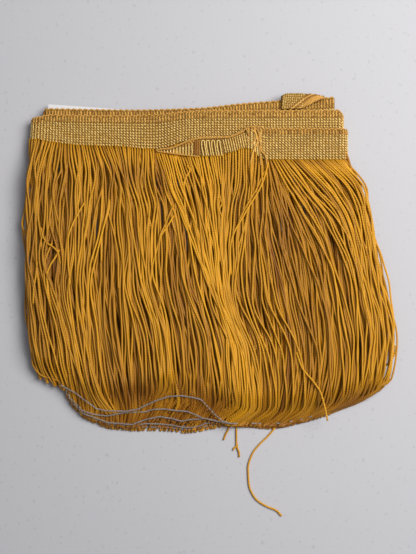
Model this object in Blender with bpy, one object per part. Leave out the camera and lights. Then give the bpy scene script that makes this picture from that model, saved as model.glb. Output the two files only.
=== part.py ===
"""Chainette fringe trim with a woven metallic heading, wound flat round a thin card.

Metres, +Z up. The trim lies on its back on the surface Z = 0. X runs along the heading and +Y points from the
hem up to the heading. The sizes below are laid out from the middle turn's lower edge, and the last step moves
the whole trim so that the middle of its box is at X = 0, Y = 0."""

import math

import bmesh
import bpy
import numpy as np

MM = 0.001
CLEARANCE = 0.3 * MM

# Card inside the winding
CARD_WIDTH = 146.0 * MM
CARD_HEIGHT = 70.0 * MM
CARD_THICK = 1.0 * MM
CARD_TILT = math.radians(-4.0)
CARD_TOP_LEFT = (-72.8 * MM, 18.9 * MM)
CARD_GAP = 0.5 * MM

# Woven heading and the height of each of its layers over the surface
BAND_THICK = 1.5 * MM
LAYER_STEP = 2.2 * MM
BACK_OUTER = BAND_THICK / 2
BACK_INNER = BACK_OUTER + LAYER_STEP
CARD_BOTTOM = BACK_INNER + BAND_THICK / 2 + CARD_GAP
FRONT_INNER = CARD_BOTTOM + CARD_THICK + CARD_GAP + BAND_THICK / 2
FRONT_MIDDLE = FRONT_INNER + LAYER_STEP
FRONT_OUTER = FRONT_MIDDLE + LAYER_STEP
SCALLOP_PITCH = 3.0 * MM
SCALLOP_DEPTH = 0.35 * MM
BACK_STEP = 12.0 * MM
TURN_STEPS = 6
BAND_LEAN = 0.07
LEAN_STARTS = 60.0 * MM
LEAN_FULL = 80.0 * MM
LEAN_MIDDLE = 8.0 * MM

# The winding from its inner end to its outer end, in mm: where a row's point lies, the band's top and lower
# edge there, and how far it lifts off its layer. The last run narrows where the band is twisted and tucked in.
RUN_COLUMNS = ("x", "top", "lower", "lift")
RUNS = (
    (FRONT_INNER, SCALLOP_PITCH / 2, (
        (74.0, 21.9, 5.9, 0.0),
        (46.0, 20.1, 4.1, 0.0),
        (25.0, 18.4, 2.4, 0.0),
        (5.0, 16.3, 0.3, 0.0),
        (-30.0, 15.3, -0.7, 0.0),
        (-73.4, 16.0, 0.0, 0.0),
    )),
    (BACK_INNER, BACK_STEP, (
        (-73.4, 14.5, -1.5, 0.0),
        (0.0, 13.5, -2.5, 0.0),
        (75.3, 15.0, -1.0, 0.0),
    )),
    (FRONT_MIDDLE, SCALLOP_PITCH / 2, (
        (75.3, 15.0, -0.5, 0.0),
        (46.0, 14.8, -0.5, 0.0),
        (5.0, 14.6, -0.3, 0.0),
        (-3.0, 14.0, -0.7, 0.0),
        (-11.0, 13.2, -3.4, 0.0),
        (-18.4, 12.6, -4.6, 0.0),
        (-36.0, 12.2, -3.3, 0.0),
        (-56.0, 12.4, -2.6, 0.0),
        (-72.0, 12.6, -0.6, 0.0),
        (-77.2, 11.5, 0.6, 0.0),
    )),
    (BACK_OUTER, BACK_STEP, (
        (-77.2, 10.0, 0.6, 0.0),
        (-60.0, 9.5, -6.0, 0.0),
        (0.0, 9.0, -7.0, 0.0),
        (60.0, 8.0, -7.5, 0.0),
        (75.2, 6.5, -8.5, 0.0),
    )),
    (FRONT_OUTER, SCALLOP_PITCH / 2, (
        (75.2, 5.1, -10.2, 0.0),
        (38.0, 5.1, -10.2, 0.0),
        (35.5, 6.2, -9.4, 0.6),
        (31.6, 6.3, -5.0, 0.9),
        (27.5, 4.9, -4.7, 0.2),
        (20.0, 1.4, -7.0, 0.0),
        (9.0, 0.7, -8.6, 0.0),
        (4.0, 0.1, -8.6, 0.0),
        (0.5, -1.4, -8.4, -0.4),
        (-3.0, -2.1, -7.9, -1.6),
        (-6.0, -3.1, -7.4, -2.2),
        (-15.3, -5.1, -6.5, -2.2),
    )),
)

# Band's starting end, turned over the innermost turn's top edge, in mm: x, its top and its front leg's lower edge
FOLD_THICK = 1.2 * MM
FOLD_BACK_DROP = 7.0 * MM
FOLD = (
    (46.7, 23.2, 15.9),
    (49.5, 23.7, 15.9),
    (56.0, 23.8, 16.1),
    (59.5, 23.5, 17.2),
    (64.0, 23.7, 19.8),
    (68.5, 23.4, 20.9),
)

# Flow of the fringe, in mm, a row for each main fold: where a strand leaves the heading, how it sways at each
# quarter of its length, and where it ends on the front and in the layers under it
FLOW_COLUMNS = ("root", "quarter", "half", "three_quarters", "tip_x", "tip_y", "under_x", "under_y")
FLOW = (
    (-82.6, -83.9, -83.6, -85.0, -79.6, -118.3, -78.5, -117.3),
    (-74.0, -77.3, -77.8, -74.0, -66.3, -124.4, -65.8, -128.0),
    (-66.3, -69.4, -68.3, -62.2, -55.1, -131.6, -60.2, -138.2),
    (-56.1, -54.6, -54.3, -50.2, -43.4, -137.7, -48.5, -144.8),
    (-40.8, -39.3, -39.5, -37.2, -33.2, -138.2, -33.2, -148.7),
    (-20.4, -18.1, -18.9, -16.3, -15.3, -132.6, -15.3, -149.7),
    (2.6, 4.8, 2.6, 4.6, 6.6, -133.1, 6.6, -150.0),
    (17.9, 19.9, 19.0, 20.9, 20.5, -146.4, 20.4, -148.0),
    (31.6, 28.5, 28.0, 29.5, 29.5, -147.0, 29.1, -147.5),
    (37.7, 43.9, 48.5, 50.0, 39.0, -147.0, 37.7, -148.0),
    (51.0, 65.3, 69.4, 69.9, 55.1, -145.4, 53.6, -144.8),
    (66.3, 82.4, 85.4, 84.7, 68.9, -141.8, 66.8, -141.3),
    (80.6, 92.3, 99.2, 105.6, 82.6, -135.2, 79.6, -134.1),
)
STATIONS = (0.0, 0.25, 0.5, 0.75, 1.0)

# Layers of the fringe: locks and rings of each, share of the flow's width at the root and past it, how far the
# ends reach towards the under layer's, a lock's thickness near its root and at its end, and the height of its
# middle at the stations after the root
STRIP_HEIGHT = 2.0 * MM
LAYER_COLUMNS = ("name", "locks", "rings", "root_share", "share", "under", "thick", "tip_thick", "heights")
LAYERS = (
    ("fringe_front_outer", 60, 8, 1.0, 1.0, 0.0, 2.1, 1.5, (11.0, 11.4, 9.8, 6.8)),
    ("fringe_front_inner", 40, 8, 0.885, 0.93, 0.5, 1.9, 1.2, (7.3, 7.7, 6.4, 4.3)),
    ("fringe_back_inner", 40, 5, 0.885, 0.93, 0.95, 1.5, 1.1, (3.0, 3.0, 3.0, 2.8)),
    ("fringe_back_outer", 50, 6, 0.92, 0.99, 1.0, 1.7, 1.7, (0.85, 0.85, 0.85, 0.85)),
)
LOCK_FILL = 0.84
TIP_NARROWING = 0.2
RIDGE_SHARE = 0.45
SHOULDER = 0.035
SHOULDER_HEIGHT = 3.2 * MM
ROOT_SHOULDER_HEIGHT = 4.7 * MM
LAYER_PHASE = 0.37

# Uneven waves of the locks: share of the sway, waves across the trim, waves along a lock, and share of the phase.
# The stitched hem holds the ends closer to their places.
SWAY = 0.8 * MM
SWAY_WAVES = ((1.0, 9, 1.3, 1.0), (0.6, 17, -2.1, 2.7))
HEM_HOLD = 0.7
LIFT = 0.3 * MM
LIFT_ACROSS = 13
LIFT_ALONG = 1.7

# Strands that have come out of the hem, in mm, and lie on the surface
STRAND_WIDTH = 1.5 * MM
STRAND_HEIGHT = 1.3 * MM
STRAND_STEPS = 20
LOOSE_STRAND = (
    (43.9, -148.2), (40.3, -152.4), (35.6, -157.0), (32.0, -162.0), (30.0, -169.0), (30.4, -177.0),
    (33.7, -184.6), (40.0, -189.0), (44.6, -190.9), (47.4, -193.8),
)

SHARP_ANGLE = math.radians(50)

# Colours: base colour, roughness, metallic
FINISHES = {
    "chainette": ((0.42, 0.19, 0.025), 0.5, 0.0),
    "heading": ((0.50, 0.29, 0.08), 0.35, 0.6),
    "board": ((0.75, 0.75, 0.76), 0.7, 0.0),
}


def clear_scene():
    for obj in list(bpy.data.objects):
        bpy.data.objects.remove(obj)


def finish(name):
    """The material of this name, made once."""
    material = bpy.data.materials.get(name)
    if material is None:
        colour, roughness, metallic = FINISHES[name]
        material = bpy.data.materials.new(name)
        material.use_nodes = True
        shader = material.node_tree.nodes["Principled BSDF"]
        shader.inputs["Base Color"].default_value = (*colour, 1.0)
        shader.inputs["Roughness"].default_value = roughness
        shader.inputs["Metallic"].default_value = metallic
    return material


def column(rows, columns, name):
    return np.array([row[columns.index(name)] for row in rows])


def through(stations, values, at):
    """Value at a place on the smooth curve through the stations' values, which never overshoots them."""
    stations = np.asarray(stations, float)
    values = np.asarray(values, float)
    if stations[0] > stations[-1]:
        stations, values = stations[::-1], values[::-1]
    secants = np.diff(values) / np.diff(stations)
    slopes = np.concatenate(([secants[0]], np.zeros(len(values) - 2), [secants[-1]]))
    for i in range(1, len(values) - 1):
        before, after = secants[i - 1], secants[i]
        if before * after > 0:
            slopes[i] = 2 * before * after / (before + after)
    at = min(max(at, stations[0]), stations[-1])
    i = min(max(int(np.searchsorted(stations, at)) - 1, 0), len(stations) - 2)
    step = stations[i + 1] - stations[i]
    t = (at - stations[i]) / step
    return (
        (1 + 2 * t) * (1 - t) ** 2 * values[i]
        + t * (1 - t) ** 2 * step * slopes[i]
        + t * t * (3 - 2 * t) * values[i + 1]
        + t * t * (t - 1) * step * slopes[i + 1]
    )


def solid(name, points, faces, material):
    """Object of one closed mesh, its faces turned outwards and its rounds shaded smooth."""
    shape = bmesh.new()
    corners = [shape.verts.new(point) for point in points]
    for face in faces:
        shape.faces.new([corners[i] for i in face])
    bmesh.ops.recalc_face_normals(shape, faces=shape.faces)
    mesh = bpy.data.meshes.new(name)
    shape.to_mesh(mesh)
    shape.free()
    mesh.shade_smooth()
    mesh.set_sharp_from_angle(angle=SHARP_ANGLE)
    mesh.materials.append(finish(material))
    obj = bpy.data.objects.new(name, mesh)
    bpy.context.collection.objects.link(obj)
    return obj


def loft(rings):
    """Points and faces of a closed body through these rings, which have the same number of points each."""
    size = len(rings[0])
    points = [point for ring in rings for point in ring]
    faces = [tuple(range(size)), tuple(range(len(points) - size, len(points)))]
    for start in range(0, len(points) - size, size):
        for i in range(size):
            j = (i + 1) % size
            faces.append((start + i, start + j, start + size + j, start + size + i))
    return points, faces


def card():
    """Board, tilted a little in the winding, with its top left corner where the band leaves it bare."""
    across = np.array([math.cos(CARD_TILT), math.sin(CARD_TILT), 0.0])
    down = np.array([math.sin(CARD_TILT), -math.cos(CARD_TILT), 0.0])
    corner = np.array([*CARD_TOP_LEFT, CARD_BOTTOM])
    outline = [
        corner,
        corner + across * CARD_WIDTH,
        corner + across * CARD_WIDTH + down * CARD_HEIGHT,
        corner + down * CARD_HEIGHT,
    ]
    rise = np.array([0.0, 0.0, CARD_THICK])
    points, faces = loft([outline, [point + rise for point in outline]])
    return solid("card", points, faces, "board")


def run_value(rows, name, x):
    """A column of one run of the winding, in metres, at this place along it."""
    return through(column(rows, RUN_COLUMNS, "x") * MM, column(rows, RUN_COLUMNS, name) * MM, x)


def band_ring(x, z, across, top, lower):
    """Four corners of the band where its middle is at x, z, with the direction of its thickness in across."""
    ring = []
    for y, side in ((top, 1), (top, -1), (lower, -1), (lower, 1)):
        lean = BAND_LEAN * (y - LEAN_MIDDLE) * max(0.0, (-x - LEAN_STARTS) / (LEAN_FULL - LEAN_STARTS))
        half = side * BAND_THICK / 2
        ring.append((x + lean + across[0] * half, y, z + across[1] * half))
    return ring


def run_rings(level, step, rows):
    """Rings along one run: scalloped on the front, where the step is half a scallop, and plain on the back."""
    first, last = rows[0][0] * MM, rows[-1][0] * MM
    count = round(abs(last - first) / step)
    front = step < BACK_STEP
    rings = []
    for i in range(count + 1):
        x = first + (last - first) * i / count
        scallop = SCALLOP_DEPTH * (1 if i % 2 else -1) if front else 0.0
        z = level + run_value(rows, "lift", x)
        side = 1 if front else -1
        rings.append(band_ring(x, z, (0, side), run_value(rows, "top", x) + scallop, run_value(rows, "lower", x)))
    return rings


def turn_rings(before, after):
    """Rings round the end of the winding, between one run and the next."""
    level, _, rows = before
    next_level, _, next_rows = after
    x = rows[-1][0] * MM
    outwards = 1 if x > 0 else -1
    radius = (next_level - level) / 2
    rings = []
    for i in range(1, TURN_STEPS):
        share = i / TURN_STEPS
        angle = math.pi * share
        up = -math.cos(angle)
        out = math.sin(angle) * outwards
        top = run_value(rows, "top", x) * (1 - share) + run_value(next_rows, "top", x) * share
        lower = run_value(rows, "lower", x) * (1 - share) + run_value(next_rows, "lower", x) * share
        z = (level + next_level) / 2 + radius * up
        facing = 1 if radius > 0 else -1
        rings.append(band_ring(x + abs(radius) * out, z, (out, up * facing), top, lower))
    return rings


def heading():
    """The band, wound from its inner end to its outer end."""
    rings = []
    for i, run in enumerate(RUNS):
        rings += run_rings(*run)
        if i + 1 < len(RUNS):
            rings += turn_rings(run, RUNS[i + 1])
    points, faces = loft(rings)
    return solid("heading", points, faces, "heading")


def folded_end():
    """Hook of the band's starting end: a long leg in front of the innermost turn and a short one behind it."""
    inner_front = FRONT_INNER + BAND_THICK / 2 + CLEARANCE
    inner_back = FRONT_INNER - BAND_THICK / 2 - CLEARANCE
    rings = []
    for x, top, lower in FOLD:
        x, top, lower = x * MM, top * MM, lower * MM
        under_top = run_value(RUNS[0][2], "top", x) + SCALLOP_DEPTH + CLEARANCE
        rings.append([
            (x, lower, inner_front + FOLD_THICK),
            (x, top, inner_front + FOLD_THICK),
            (x, top, inner_back - FOLD_THICK),
            (x, top - FOLD_BACK_DROP, inner_back - FOLD_THICK),
            (x, top - FOLD_BACK_DROP, inner_back),
            (x, under_top, inner_back),
            (x, under_top, inner_front),
            (x, lower, inner_front),
        ])
    points, faces = loft(rings)
    return solid("folded_end", points, faces, "heading")


def even_places():
    """Place of each flow row between 0 and 1, so that evenly placed locks suit both roots and middles."""
    roots = column(FLOW, FLOW_COLUMNS, "root")
    middles = column(FLOW, FLOW_COLUMNS, "half")
    both = roots + middles
    return (both - both[0]) / (both[-1] - both[0])


def root_x(layer, place):
    return through(even_places(), column(FLOW, FLOW_COLUMNS, "root"), place) * layer["root_share"] * MM


def root_edge(layer, x):
    """Lower edge and height of the heading that this layer hangs from."""
    if layer["name"] == "fringe_front_outer":
        outer_end = RUNS[4][2][-1][0] * MM
        level, _, rows = RUNS[4] if x > outer_end - STRIP_HEIGHT else RUNS[2]
    elif layer["name"] == "fringe_front_inner":
        level, _, rows = RUNS[0]
    elif layer["name"] == "fringe_back_inner":
        level, _, rows = RUNS[1]
    else:
        level, _, rows = RUNS[3]
    return run_value(rows, "lower", x), level + run_value(rows, "lift", x)


def shoulder(layer, place, height, edge_height):
    """Height of the front layer, rounded down to the side edges of the winding."""
    if layer["name"] != "fringe_front_outer":
        return height
    past = max(0.0, 1 - min(place, 1 - place) / SHOULDER)
    return height - (height - edge_height) * (1 - math.sqrt(max(0.0, 1 - past * past)))


def strand_point(layer, place, length):
    """Where the middle of a layer lies at a share of its width and of its length."""
    flow = {name: through(even_places(), column(FLOW, FLOW_COLUMNS, name), place) * MM for name in FLOW_COLUMNS}
    past_root = min(1.0, length / STATIONS[1])
    share = layer["root_share"] + (layer["share"] - layer["root_share"]) * past_root
    under = layer["under"]
    tip_x = flow["tip_x"] * (1 - under) + flow["under_x"] * under
    tip_y = flow["tip_y"] * (1 - under) + flow["under_y"] * under
    track = (flow["root"], flow["quarter"], flow["half"], flow["three_quarters"], tip_x)
    sway = SWAY * math.sqrt(length) * (1 - HEM_HOLD * length**2) * sum(
        size * math.sin(math.tau * (across * place + along * length + phase_share * layer["phase"]))
        for size, across, along, phase_share in SWAY_WAVES
    )
    x = through(STATIONS, track, length) * share + sway
    edge, root_z = root_edge(layer, root_x(layer, place))
    start = edge - CLEARANCE - STRIP_HEIGHT
    y = start + (tip_y - start) * length
    heights = [root_z, *(height * MM for height in layer["heights"])]
    z = through(STATIONS, heights, length)
    edge_height = ROOT_SHOULDER_HEIGHT + (SHOULDER_HEIGHT - ROOT_SHOULDER_HEIGHT) * past_root
    if layer["name"] == "fringe_front_outer":
        z += LIFT * math.sqrt(length) * math.sin(math.tau * (LIFT_ACROSS * place + LIFT_ALONG * length))
    return np.array([x, y, shoulder(layer, place, z, edge_height)])


def lock_ring(layer, left, right, length):
    """Four corners of a lock, wider below than on its ridge."""
    middle = (left + right) / 2
    growth = min(1.0, length * layer["rings"])
    ridge = 1 + (RIDGE_SHARE - 1) * growth
    full = (layer["thick"] + (layer["tip_thick"] - layer["thick"]) * length) * MM
    thick = BAND_THICK + (full - BAND_THICK) * growth
    corners = []
    width = 1 - TIP_NARROWING * length
    for place, share, side in ((left, ridge, 1), (right, ridge, 1), (right, 1, -1), (left, 1, -1)):
        point = strand_point(layer, middle + (place - middle) * share * width, length)
        point[2] += side * thick / 2
        corners.append(tuple(point))
    return corners


def fringe(row, phase):
    """One layer: a narrow strip under the heading's edge, and the locks that grow out of its lower face."""
    layer = dict(zip(LAYER_COLUMNS, row))
    layer["phase"] = phase
    count = layer["locks"]
    half = LOCK_FILL / count / 2
    places = []
    for i in range(count):
        middle = (i + 0.5) / count
        places += [middle - half, middle + half]
    points, faces = [], []
    for place in places:
        x = root_x(layer, place)
        edge, level = root_edge(layer, x)
        z = shoulder(layer, place, level, ROOT_SHOULDER_HEIGHT)
        for y in (edge - CLEARANCE, edge - CLEARANCE - STRIP_HEIGHT):
            points += [(x, y, z + BAND_THICK / 2), (x, y, z - BAND_THICK / 2)]
    last = 4 * (len(places) - 1)
    faces += [(0, 1, 3, 2), (last, last + 2, last + 3, last + 1)]
    for i in range(len(places) - 1):
        a, b = 4 * i, 4 * (i + 1)
        faces += [(a, a + 2, b + 2, b), (a + 1, b + 1, b + 3, a + 3), (a, b, b + 1, a + 1)]
        if i % 2:
            faces.append((a + 2, a + 3, b + 3, b + 2))
    for i in range(count):
        a, b = 8 * i, 8 * i + 4
        before = (a + 2, b + 2, b + 3, a + 3)
        for ring in range(1, layer["rings"] + 1):
            start = len(points)
            points += lock_ring(layer, places[2 * i], places[2 * i + 1], ring / layer["rings"])
            after = (start, start + 1, start + 2, start + 3)
            for k in range(4):
                j = (k + 1) % 4
                faces.append((before[k], before[j], after[j], after[k]))
            before = after
        faces.append(before)
    return solid(layer["name"], points, faces, "chainette")


def loose_strand():
    """The long strand, which rests level on the surface along its whole length."""
    route = np.array(LOOSE_STRAND) * MM
    reach = np.concatenate(([0.0], np.cumsum(np.linalg.norm(np.diff(route, axis=0), axis=1))))
    middles = []
    for i in range(STRAND_STEPS + 1):
        at = reach[-1] * i / STRAND_STEPS
        middles.append(np.array([through(reach, route[:, axis], at) for axis in (0, 1)]))
    rings = []
    for i, middle in enumerate(middles):
        along = middles[min(i + 1, STRAND_STEPS)] - middles[max(i - 1, 0)]
        side = np.array([-along[1], along[0]]) / np.linalg.norm(along) * STRAND_WIDTH / 2
        foot_left, foot_right = middle + side, middle - side
        top_left, top_right = middle + side * RIDGE_SHARE, middle - side * RIDGE_SHARE
        rings.append([
            (*foot_left, 0.0), (*foot_right, 0.0), (*top_right, STRAND_HEIGHT), (*top_left, STRAND_HEIGHT),
        ])
    points, faces = loft(rings)
    return solid("loose_strand", points, faces, "chainette")


def centre_on_origin(pieces):
    """Hangs the pieces on one empty, placed so that the middle of their box is over the origin."""
    corners = np.array([vertex.co[:] for piece in pieces for vertex in piece.data.vertices])
    middle = (corners.min(axis=0) + corners.max(axis=0)) / 2
    trim = bpy.data.objects.new("trim", None)
    bpy.context.collection.objects.link(trim)
    trim.location = (-middle[0], -middle[1], -corners[:, 2].min())
    for piece in pieces:
        piece.parent = trim


def main():
    clear_scene()
    pieces = [card(), heading(), folded_end(), loose_strand()]
    for i, row in enumerate(LAYERS):
        pieces.append(fringe(row, phase=i * LAYER_PHASE))
    centre_on_origin(pieces)


main()
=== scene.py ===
"""Looks of a chainette fringe trim with a woven metallic heading, wound flat round a thin card.

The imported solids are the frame. Strands, stitches, hem thread and band are modelled over them in metres.
Tables of the trim's layout are in mm, from the middle turn's lower edge, and routes that are read off the
photograph are in its pixels."""

import math

import bpy
import numpy as np
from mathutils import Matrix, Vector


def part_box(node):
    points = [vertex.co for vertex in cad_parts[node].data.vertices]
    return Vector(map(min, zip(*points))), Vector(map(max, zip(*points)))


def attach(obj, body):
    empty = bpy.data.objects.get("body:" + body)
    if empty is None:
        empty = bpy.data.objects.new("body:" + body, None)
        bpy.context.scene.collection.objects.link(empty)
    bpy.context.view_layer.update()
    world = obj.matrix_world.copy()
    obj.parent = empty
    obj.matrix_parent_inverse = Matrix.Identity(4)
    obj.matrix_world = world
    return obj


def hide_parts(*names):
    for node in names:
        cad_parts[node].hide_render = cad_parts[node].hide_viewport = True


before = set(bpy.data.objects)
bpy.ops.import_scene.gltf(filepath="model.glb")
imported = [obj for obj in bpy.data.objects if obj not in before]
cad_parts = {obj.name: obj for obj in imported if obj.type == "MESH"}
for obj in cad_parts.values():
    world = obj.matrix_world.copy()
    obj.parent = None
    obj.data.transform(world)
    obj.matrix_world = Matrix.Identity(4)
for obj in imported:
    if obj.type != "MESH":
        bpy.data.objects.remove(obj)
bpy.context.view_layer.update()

bl_info = {
    "name": "Wound fringe trim",
    "version": (1, 0, 0),
    "blender": (4, 5, 0),
    "location": "3D View > Sidebar > Trim",
    "description": "Builds the strands, stitches and finishes of a chainette fringe trim wound round a card",
    "category": "Object",
}

MM = 0.001

# Photograph: size of a pixel on the trim, the pixel at the layout's zero, and the picture's size in pixels
PIXEL = 0.51 * MM
PIXEL_ZERO = (190.0, 140.0)
PICTURE = (416, 554)

# Camera straight above the picture's middle, in metres, with its sensor in mm
CAMERA_HEIGHT = 0.5
CAMERA_PLANE = 9.0 * MM
CAMERA_NEAR = 0.01
SENSOR = 36.0

# Floor and soft light, in metres and watts
FLOOR_SIZE = 4.0
LIGHT_COLUMNS = ("name", "place", "target", "size", "power", "colour")
LIGHTS = (
    ("window", (0.390, 0.240, 0.630), (0.100, 0.000, 0.0), 0.48, 7.7, (1.0, 0.98, 0.95)),
    ("ceiling", (0.10, 0.05, 0.9), (0.0, 0.0, 0.0), 1.0, 1.0, (0.97, 0.98, 1.0)),
)
WORLD_COLOUR = (0.93, 0.95, 1.0, 1.0)
WORLD_STRENGTH = 0.16

# Upper right corner of the card's box in the layout, which places the layout in the frame
CARD_WIDTH = 146.0 * MM
CARD_TILT = math.radians(4.0)
CARD_TOP_LEFT = (-72.8 * MM, 18.9 * MM)
CARD_CORNER = np.array([CARD_TOP_LEFT[0] + CARD_WIDTH * math.cos(CARD_TILT), CARD_TOP_LEFT[1]])
LAYOUT_SHIFT = np.array(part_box("card")[1][:2]) - CARD_CORNER

# Band: its size, the heights of its runs over the floor, its scallops, and how its left end leans outwards
BAND_WIDTH = 16.0 * MM
CLOTH_THICK = 0.8 * MM
CLOTH_STEPS = 9
BACK_OUTER = 0.75 * MM
LAYER_STEP = 2.2 * MM
BACK_INNER = BACK_OUTER + LAYER_STEP
FRONT_INNER = 6.45 * MM
FRONT_MIDDLE = FRONT_INNER + LAYER_STEP
FRONT_OUTER = FRONT_MIDDLE + LAYER_STEP
SCALLOP_PITCH = 3.0 * MM
SCALLOP_DEPTH = 0.35 * MM
BAND_STEP = 0.75 * MM
BAND_LEAN = 0.07
LEAN_MIDDLE = 8.0 * MM
LEAN_STARTS = 60.0 * MM
LEAN_FULL = 80.0 * MM

# Winding from its inner to its outer end: height of each run, and rows of x, edges and lift in mm
RUN_COLUMNS = ("x", "top", "lower", "lift")
RUNS = (
    (FRONT_INNER, (
        (74.0, 21.9, 5.9, 0.0), (46.0, 20.1, 4.1, 0.0), (25.0, 18.4, 2.4, 0.0), (5.0, 16.3, 0.3, 0.0),
        (-30.0, 15.3, -0.7, 0.0), (-73.4, 16.0, 0.0, 0.0),
    )),
    (BACK_INNER, ((-73.4, 14.5, -1.5, 0.0), (0.0, 13.5, -2.5, 0.0), (75.3, 15.0, -1.0, 0.0))),
    (FRONT_MIDDLE, (
        (75.3, 15.0, -0.5, 0.0), (46.0, 14.8, -0.5, 0.0), (5.0, 14.6, -0.3, 0.0), (-3.0, 14.0, -0.7, 0.0),
        (-11.0, 13.2, -3.4, 0.0), (-18.4, 12.6, -4.6, 0.0), (-36.0, 12.2, -3.3, 0.0),
        (-56.0, 12.4, -2.6, 0.0), (-72.0, 12.6, -0.6, 0.0), (-77.2, 11.5, 0.6, 0.0),
    )),
    (BACK_OUTER, (
        (-77.2, 10.0, 0.6, 0.0), (-60.0, 9.5, -6.0, 0.0), (0.0, 9.0, -7.0, 0.0), (60.0, 8.0, -7.5, 0.0),
        (75.2, 6.5, -8.5, 0.0),
    )),
    (FRONT_OUTER, (
        (75.2, 5.1, -10.2, 0.0), (38.0, 5.1, -10.2, 0.0), (35.5, 6.2, -9.4, 0.6), (31.6, 6.3, -5.0, 0.9),
        (27.5, 4.9, -4.7, 0.2), (20.0, 1.4, -7.0, 0.0), (9.0, 0.7, -8.6, 0.0), (4.0, 0.1, -8.6, 0.0),
        (0.5, -1.4, -8.4, -0.4), (-3.0, -2.1, -7.9, -1.6), (-6.0, -3.1, -7.4, -2.2),
        (-15.3, -5.1, -6.5, -2.2),
    )),
)

# Turns of the winding round the card's edges: their points, and how far the band's top dips in each
TURN_STEPS = 12
TURN_DIPS = (0.0, 2.6 * MM, 0.0, 0.6 * MM)
INNER_RUN = 0
MIDDLE_RUN = 2
OUTER_RUN = 4

# Rows of stitches: share of the band's height, slant in degrees, length and radius in mm
BAR_COLUMNS = ("share", "slant", "length", "radius", "yarn")
METAL_SHARES = (0.040, 0.125, 0.210, 0.295, 0.380, 0.465, 0.550, 0.635, 0.720)
OUTER_ROWS = tuple((share, 50, 1.34, 0.38, "metal") for share in METAL_SHARES) + (
    (0.800, 30, 1.1, 0.32, "metal"), (0.900, 3, 2.5, 0.46, "cord"),
)
INNER_ROWS = tuple((share, 46, 1.24, 0.39, "metal") for share in METAL_SHARES) + (
    (0.805, -32, 1.4, 0.38, "cord"), (0.880, 38, 1.5, 0.40, "cord"), (0.955, -36, 1.3, 0.42, "cord"),
    (0.840, 34, 1.0, 0.28, "metal"), (0.918, 34, 0.9, 0.26, "metal"),
)
RIBBED_ROWS = tuple((share, 38, 1.20, 0.40, "metal") for share in METAL_SHARES[:-1]) + (
    (0.740, 2, 1.6, 0.44, "cord"), (0.890, 2, 2.9, 0.48, "cord"), (0.820, 30, 0.8, 0.28, "metal"),
)
ROW_SETS = (RIBBED_ROWS, INNER_ROWS, INNER_ROWS, OUTER_ROWS, OUTER_ROWS)
STITCH_PITCH = 1.5 * MM
OUTER_PITCH = 1.6 * MM

# One stitch: places along it, its swell there and its sides, then its lift and how uneven it is
BAR_ALONG = np.array([-0.5, -0.28, 0.28, 0.5])
BAR_SWELL = np.array([0.5, 1.0, 1.0, 0.5])
BAR_SIDES = 5
BAR_SINK = 0.4 * MM
STITCH_LIFT = 0.1 * MM
STITCH_LIFT_SPREAD = 0.12 * MM
STITCH_DRIFT = 0.05 * MM
STITCH_RISE_DRIFT = 0.004
STITCH_TURN_DRIFT = 0.08
STITCH_LENGTHS = (0.9, 1.1)
STITCH_SWELLS = (0.88, 1.08)
STITCH_TONES = (0.72, 0.26)
SHORT_BAND_REACH = 1.3

# Corded top edge of the band, and the stretch of the outer run that the twisted end takes up
CORD_SIDES = 6
EDGE_RADIUS = 0.42 * MM
EDGE_INSET = 0.5 * MM
EDGE_STEPS = 8
EDGE_RISE = 1.6
EDGE_SINK = 0.01
EDGE_WAVE = 0.25 * MM
EDGE_SWELL = 0.25
EDGE_TONE = 0.7
TWIST_SPAN = (1.5 * MM, 29.0 * MM)

# Flow of the fringe in pixels: where its main folds cross shares of its length, and deep layers' tips
FLOW_STATIONS = (0.0, 0.125, 0.25, 0.5, 0.75, 0.93, 1.0)
FLOW_TOP = (
    (28, 26, 25.5, 26, 23.5, 27, 33), (45, 41, 38.5, 37.5, 45, 54, 60), (60, 56, 54.5, 56, 68, 78, 82),
    (80, 87, 85, 77, 84, 94, 104), (95, 104, 98, 87, 90, 101, 112), (112, 122, 127, 131, 146, 149, 142),
    (130, 134, 141, 143, 159, 163, 155), (150, 151, 157, 157, 172, 175, 167),
    (161, 170, 185, 206, 226, 229, 209), (190, 199, 205, 216, 238, 240, 221),
    (220, 222, 222, 226, 247, 252, 233), (246, 244, 239, 233, 256, 261, 241),
    (264, 266, 268, 276, 300, 302, 284), (272, 288, 307, 335, 345, 343, 322),
    (290, 316, 339, 357, 366, 363, 340), (320, 349, 360, 371, 382, 376, 352),
    (340, 362, 368, 381, 392, 387, 357), (348, 367, 371, 384.5, 397, 394, 360),
)
FLOW_UNDER = (
    (28, 27, 26, 26, 24, 28, 34), (60, 58, 57, 57, 68, 72, 74), (95, 97, 99, 98, 104, 110, 112),
    (125, 130, 134, 136, 146, 148, 144), (160, 164, 168, 172, 186, 190, 184),
    (200, 204, 206, 210, 226, 228, 220), (235, 236, 236, 240, 254, 256, 244),
    (262, 266, 272, 286, 296, 292, 276), (285, 300, 314, 330, 338, 330, 304),
    (315, 329, 345, 358, 368, 360, 326), (345, 353, 368, 382, 394, 388, 352),
)
DEEP_TIPS = (36, 74, 110, 140, 178, 216, 244, 268, 292, 322, 346)

# Shares of the fringe's length at which the layers' heights are given, from the root down
HEIGHT_STATIONS = (0.0, 0.1, 0.5, 0.875, 0.95, 1.0)

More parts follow.
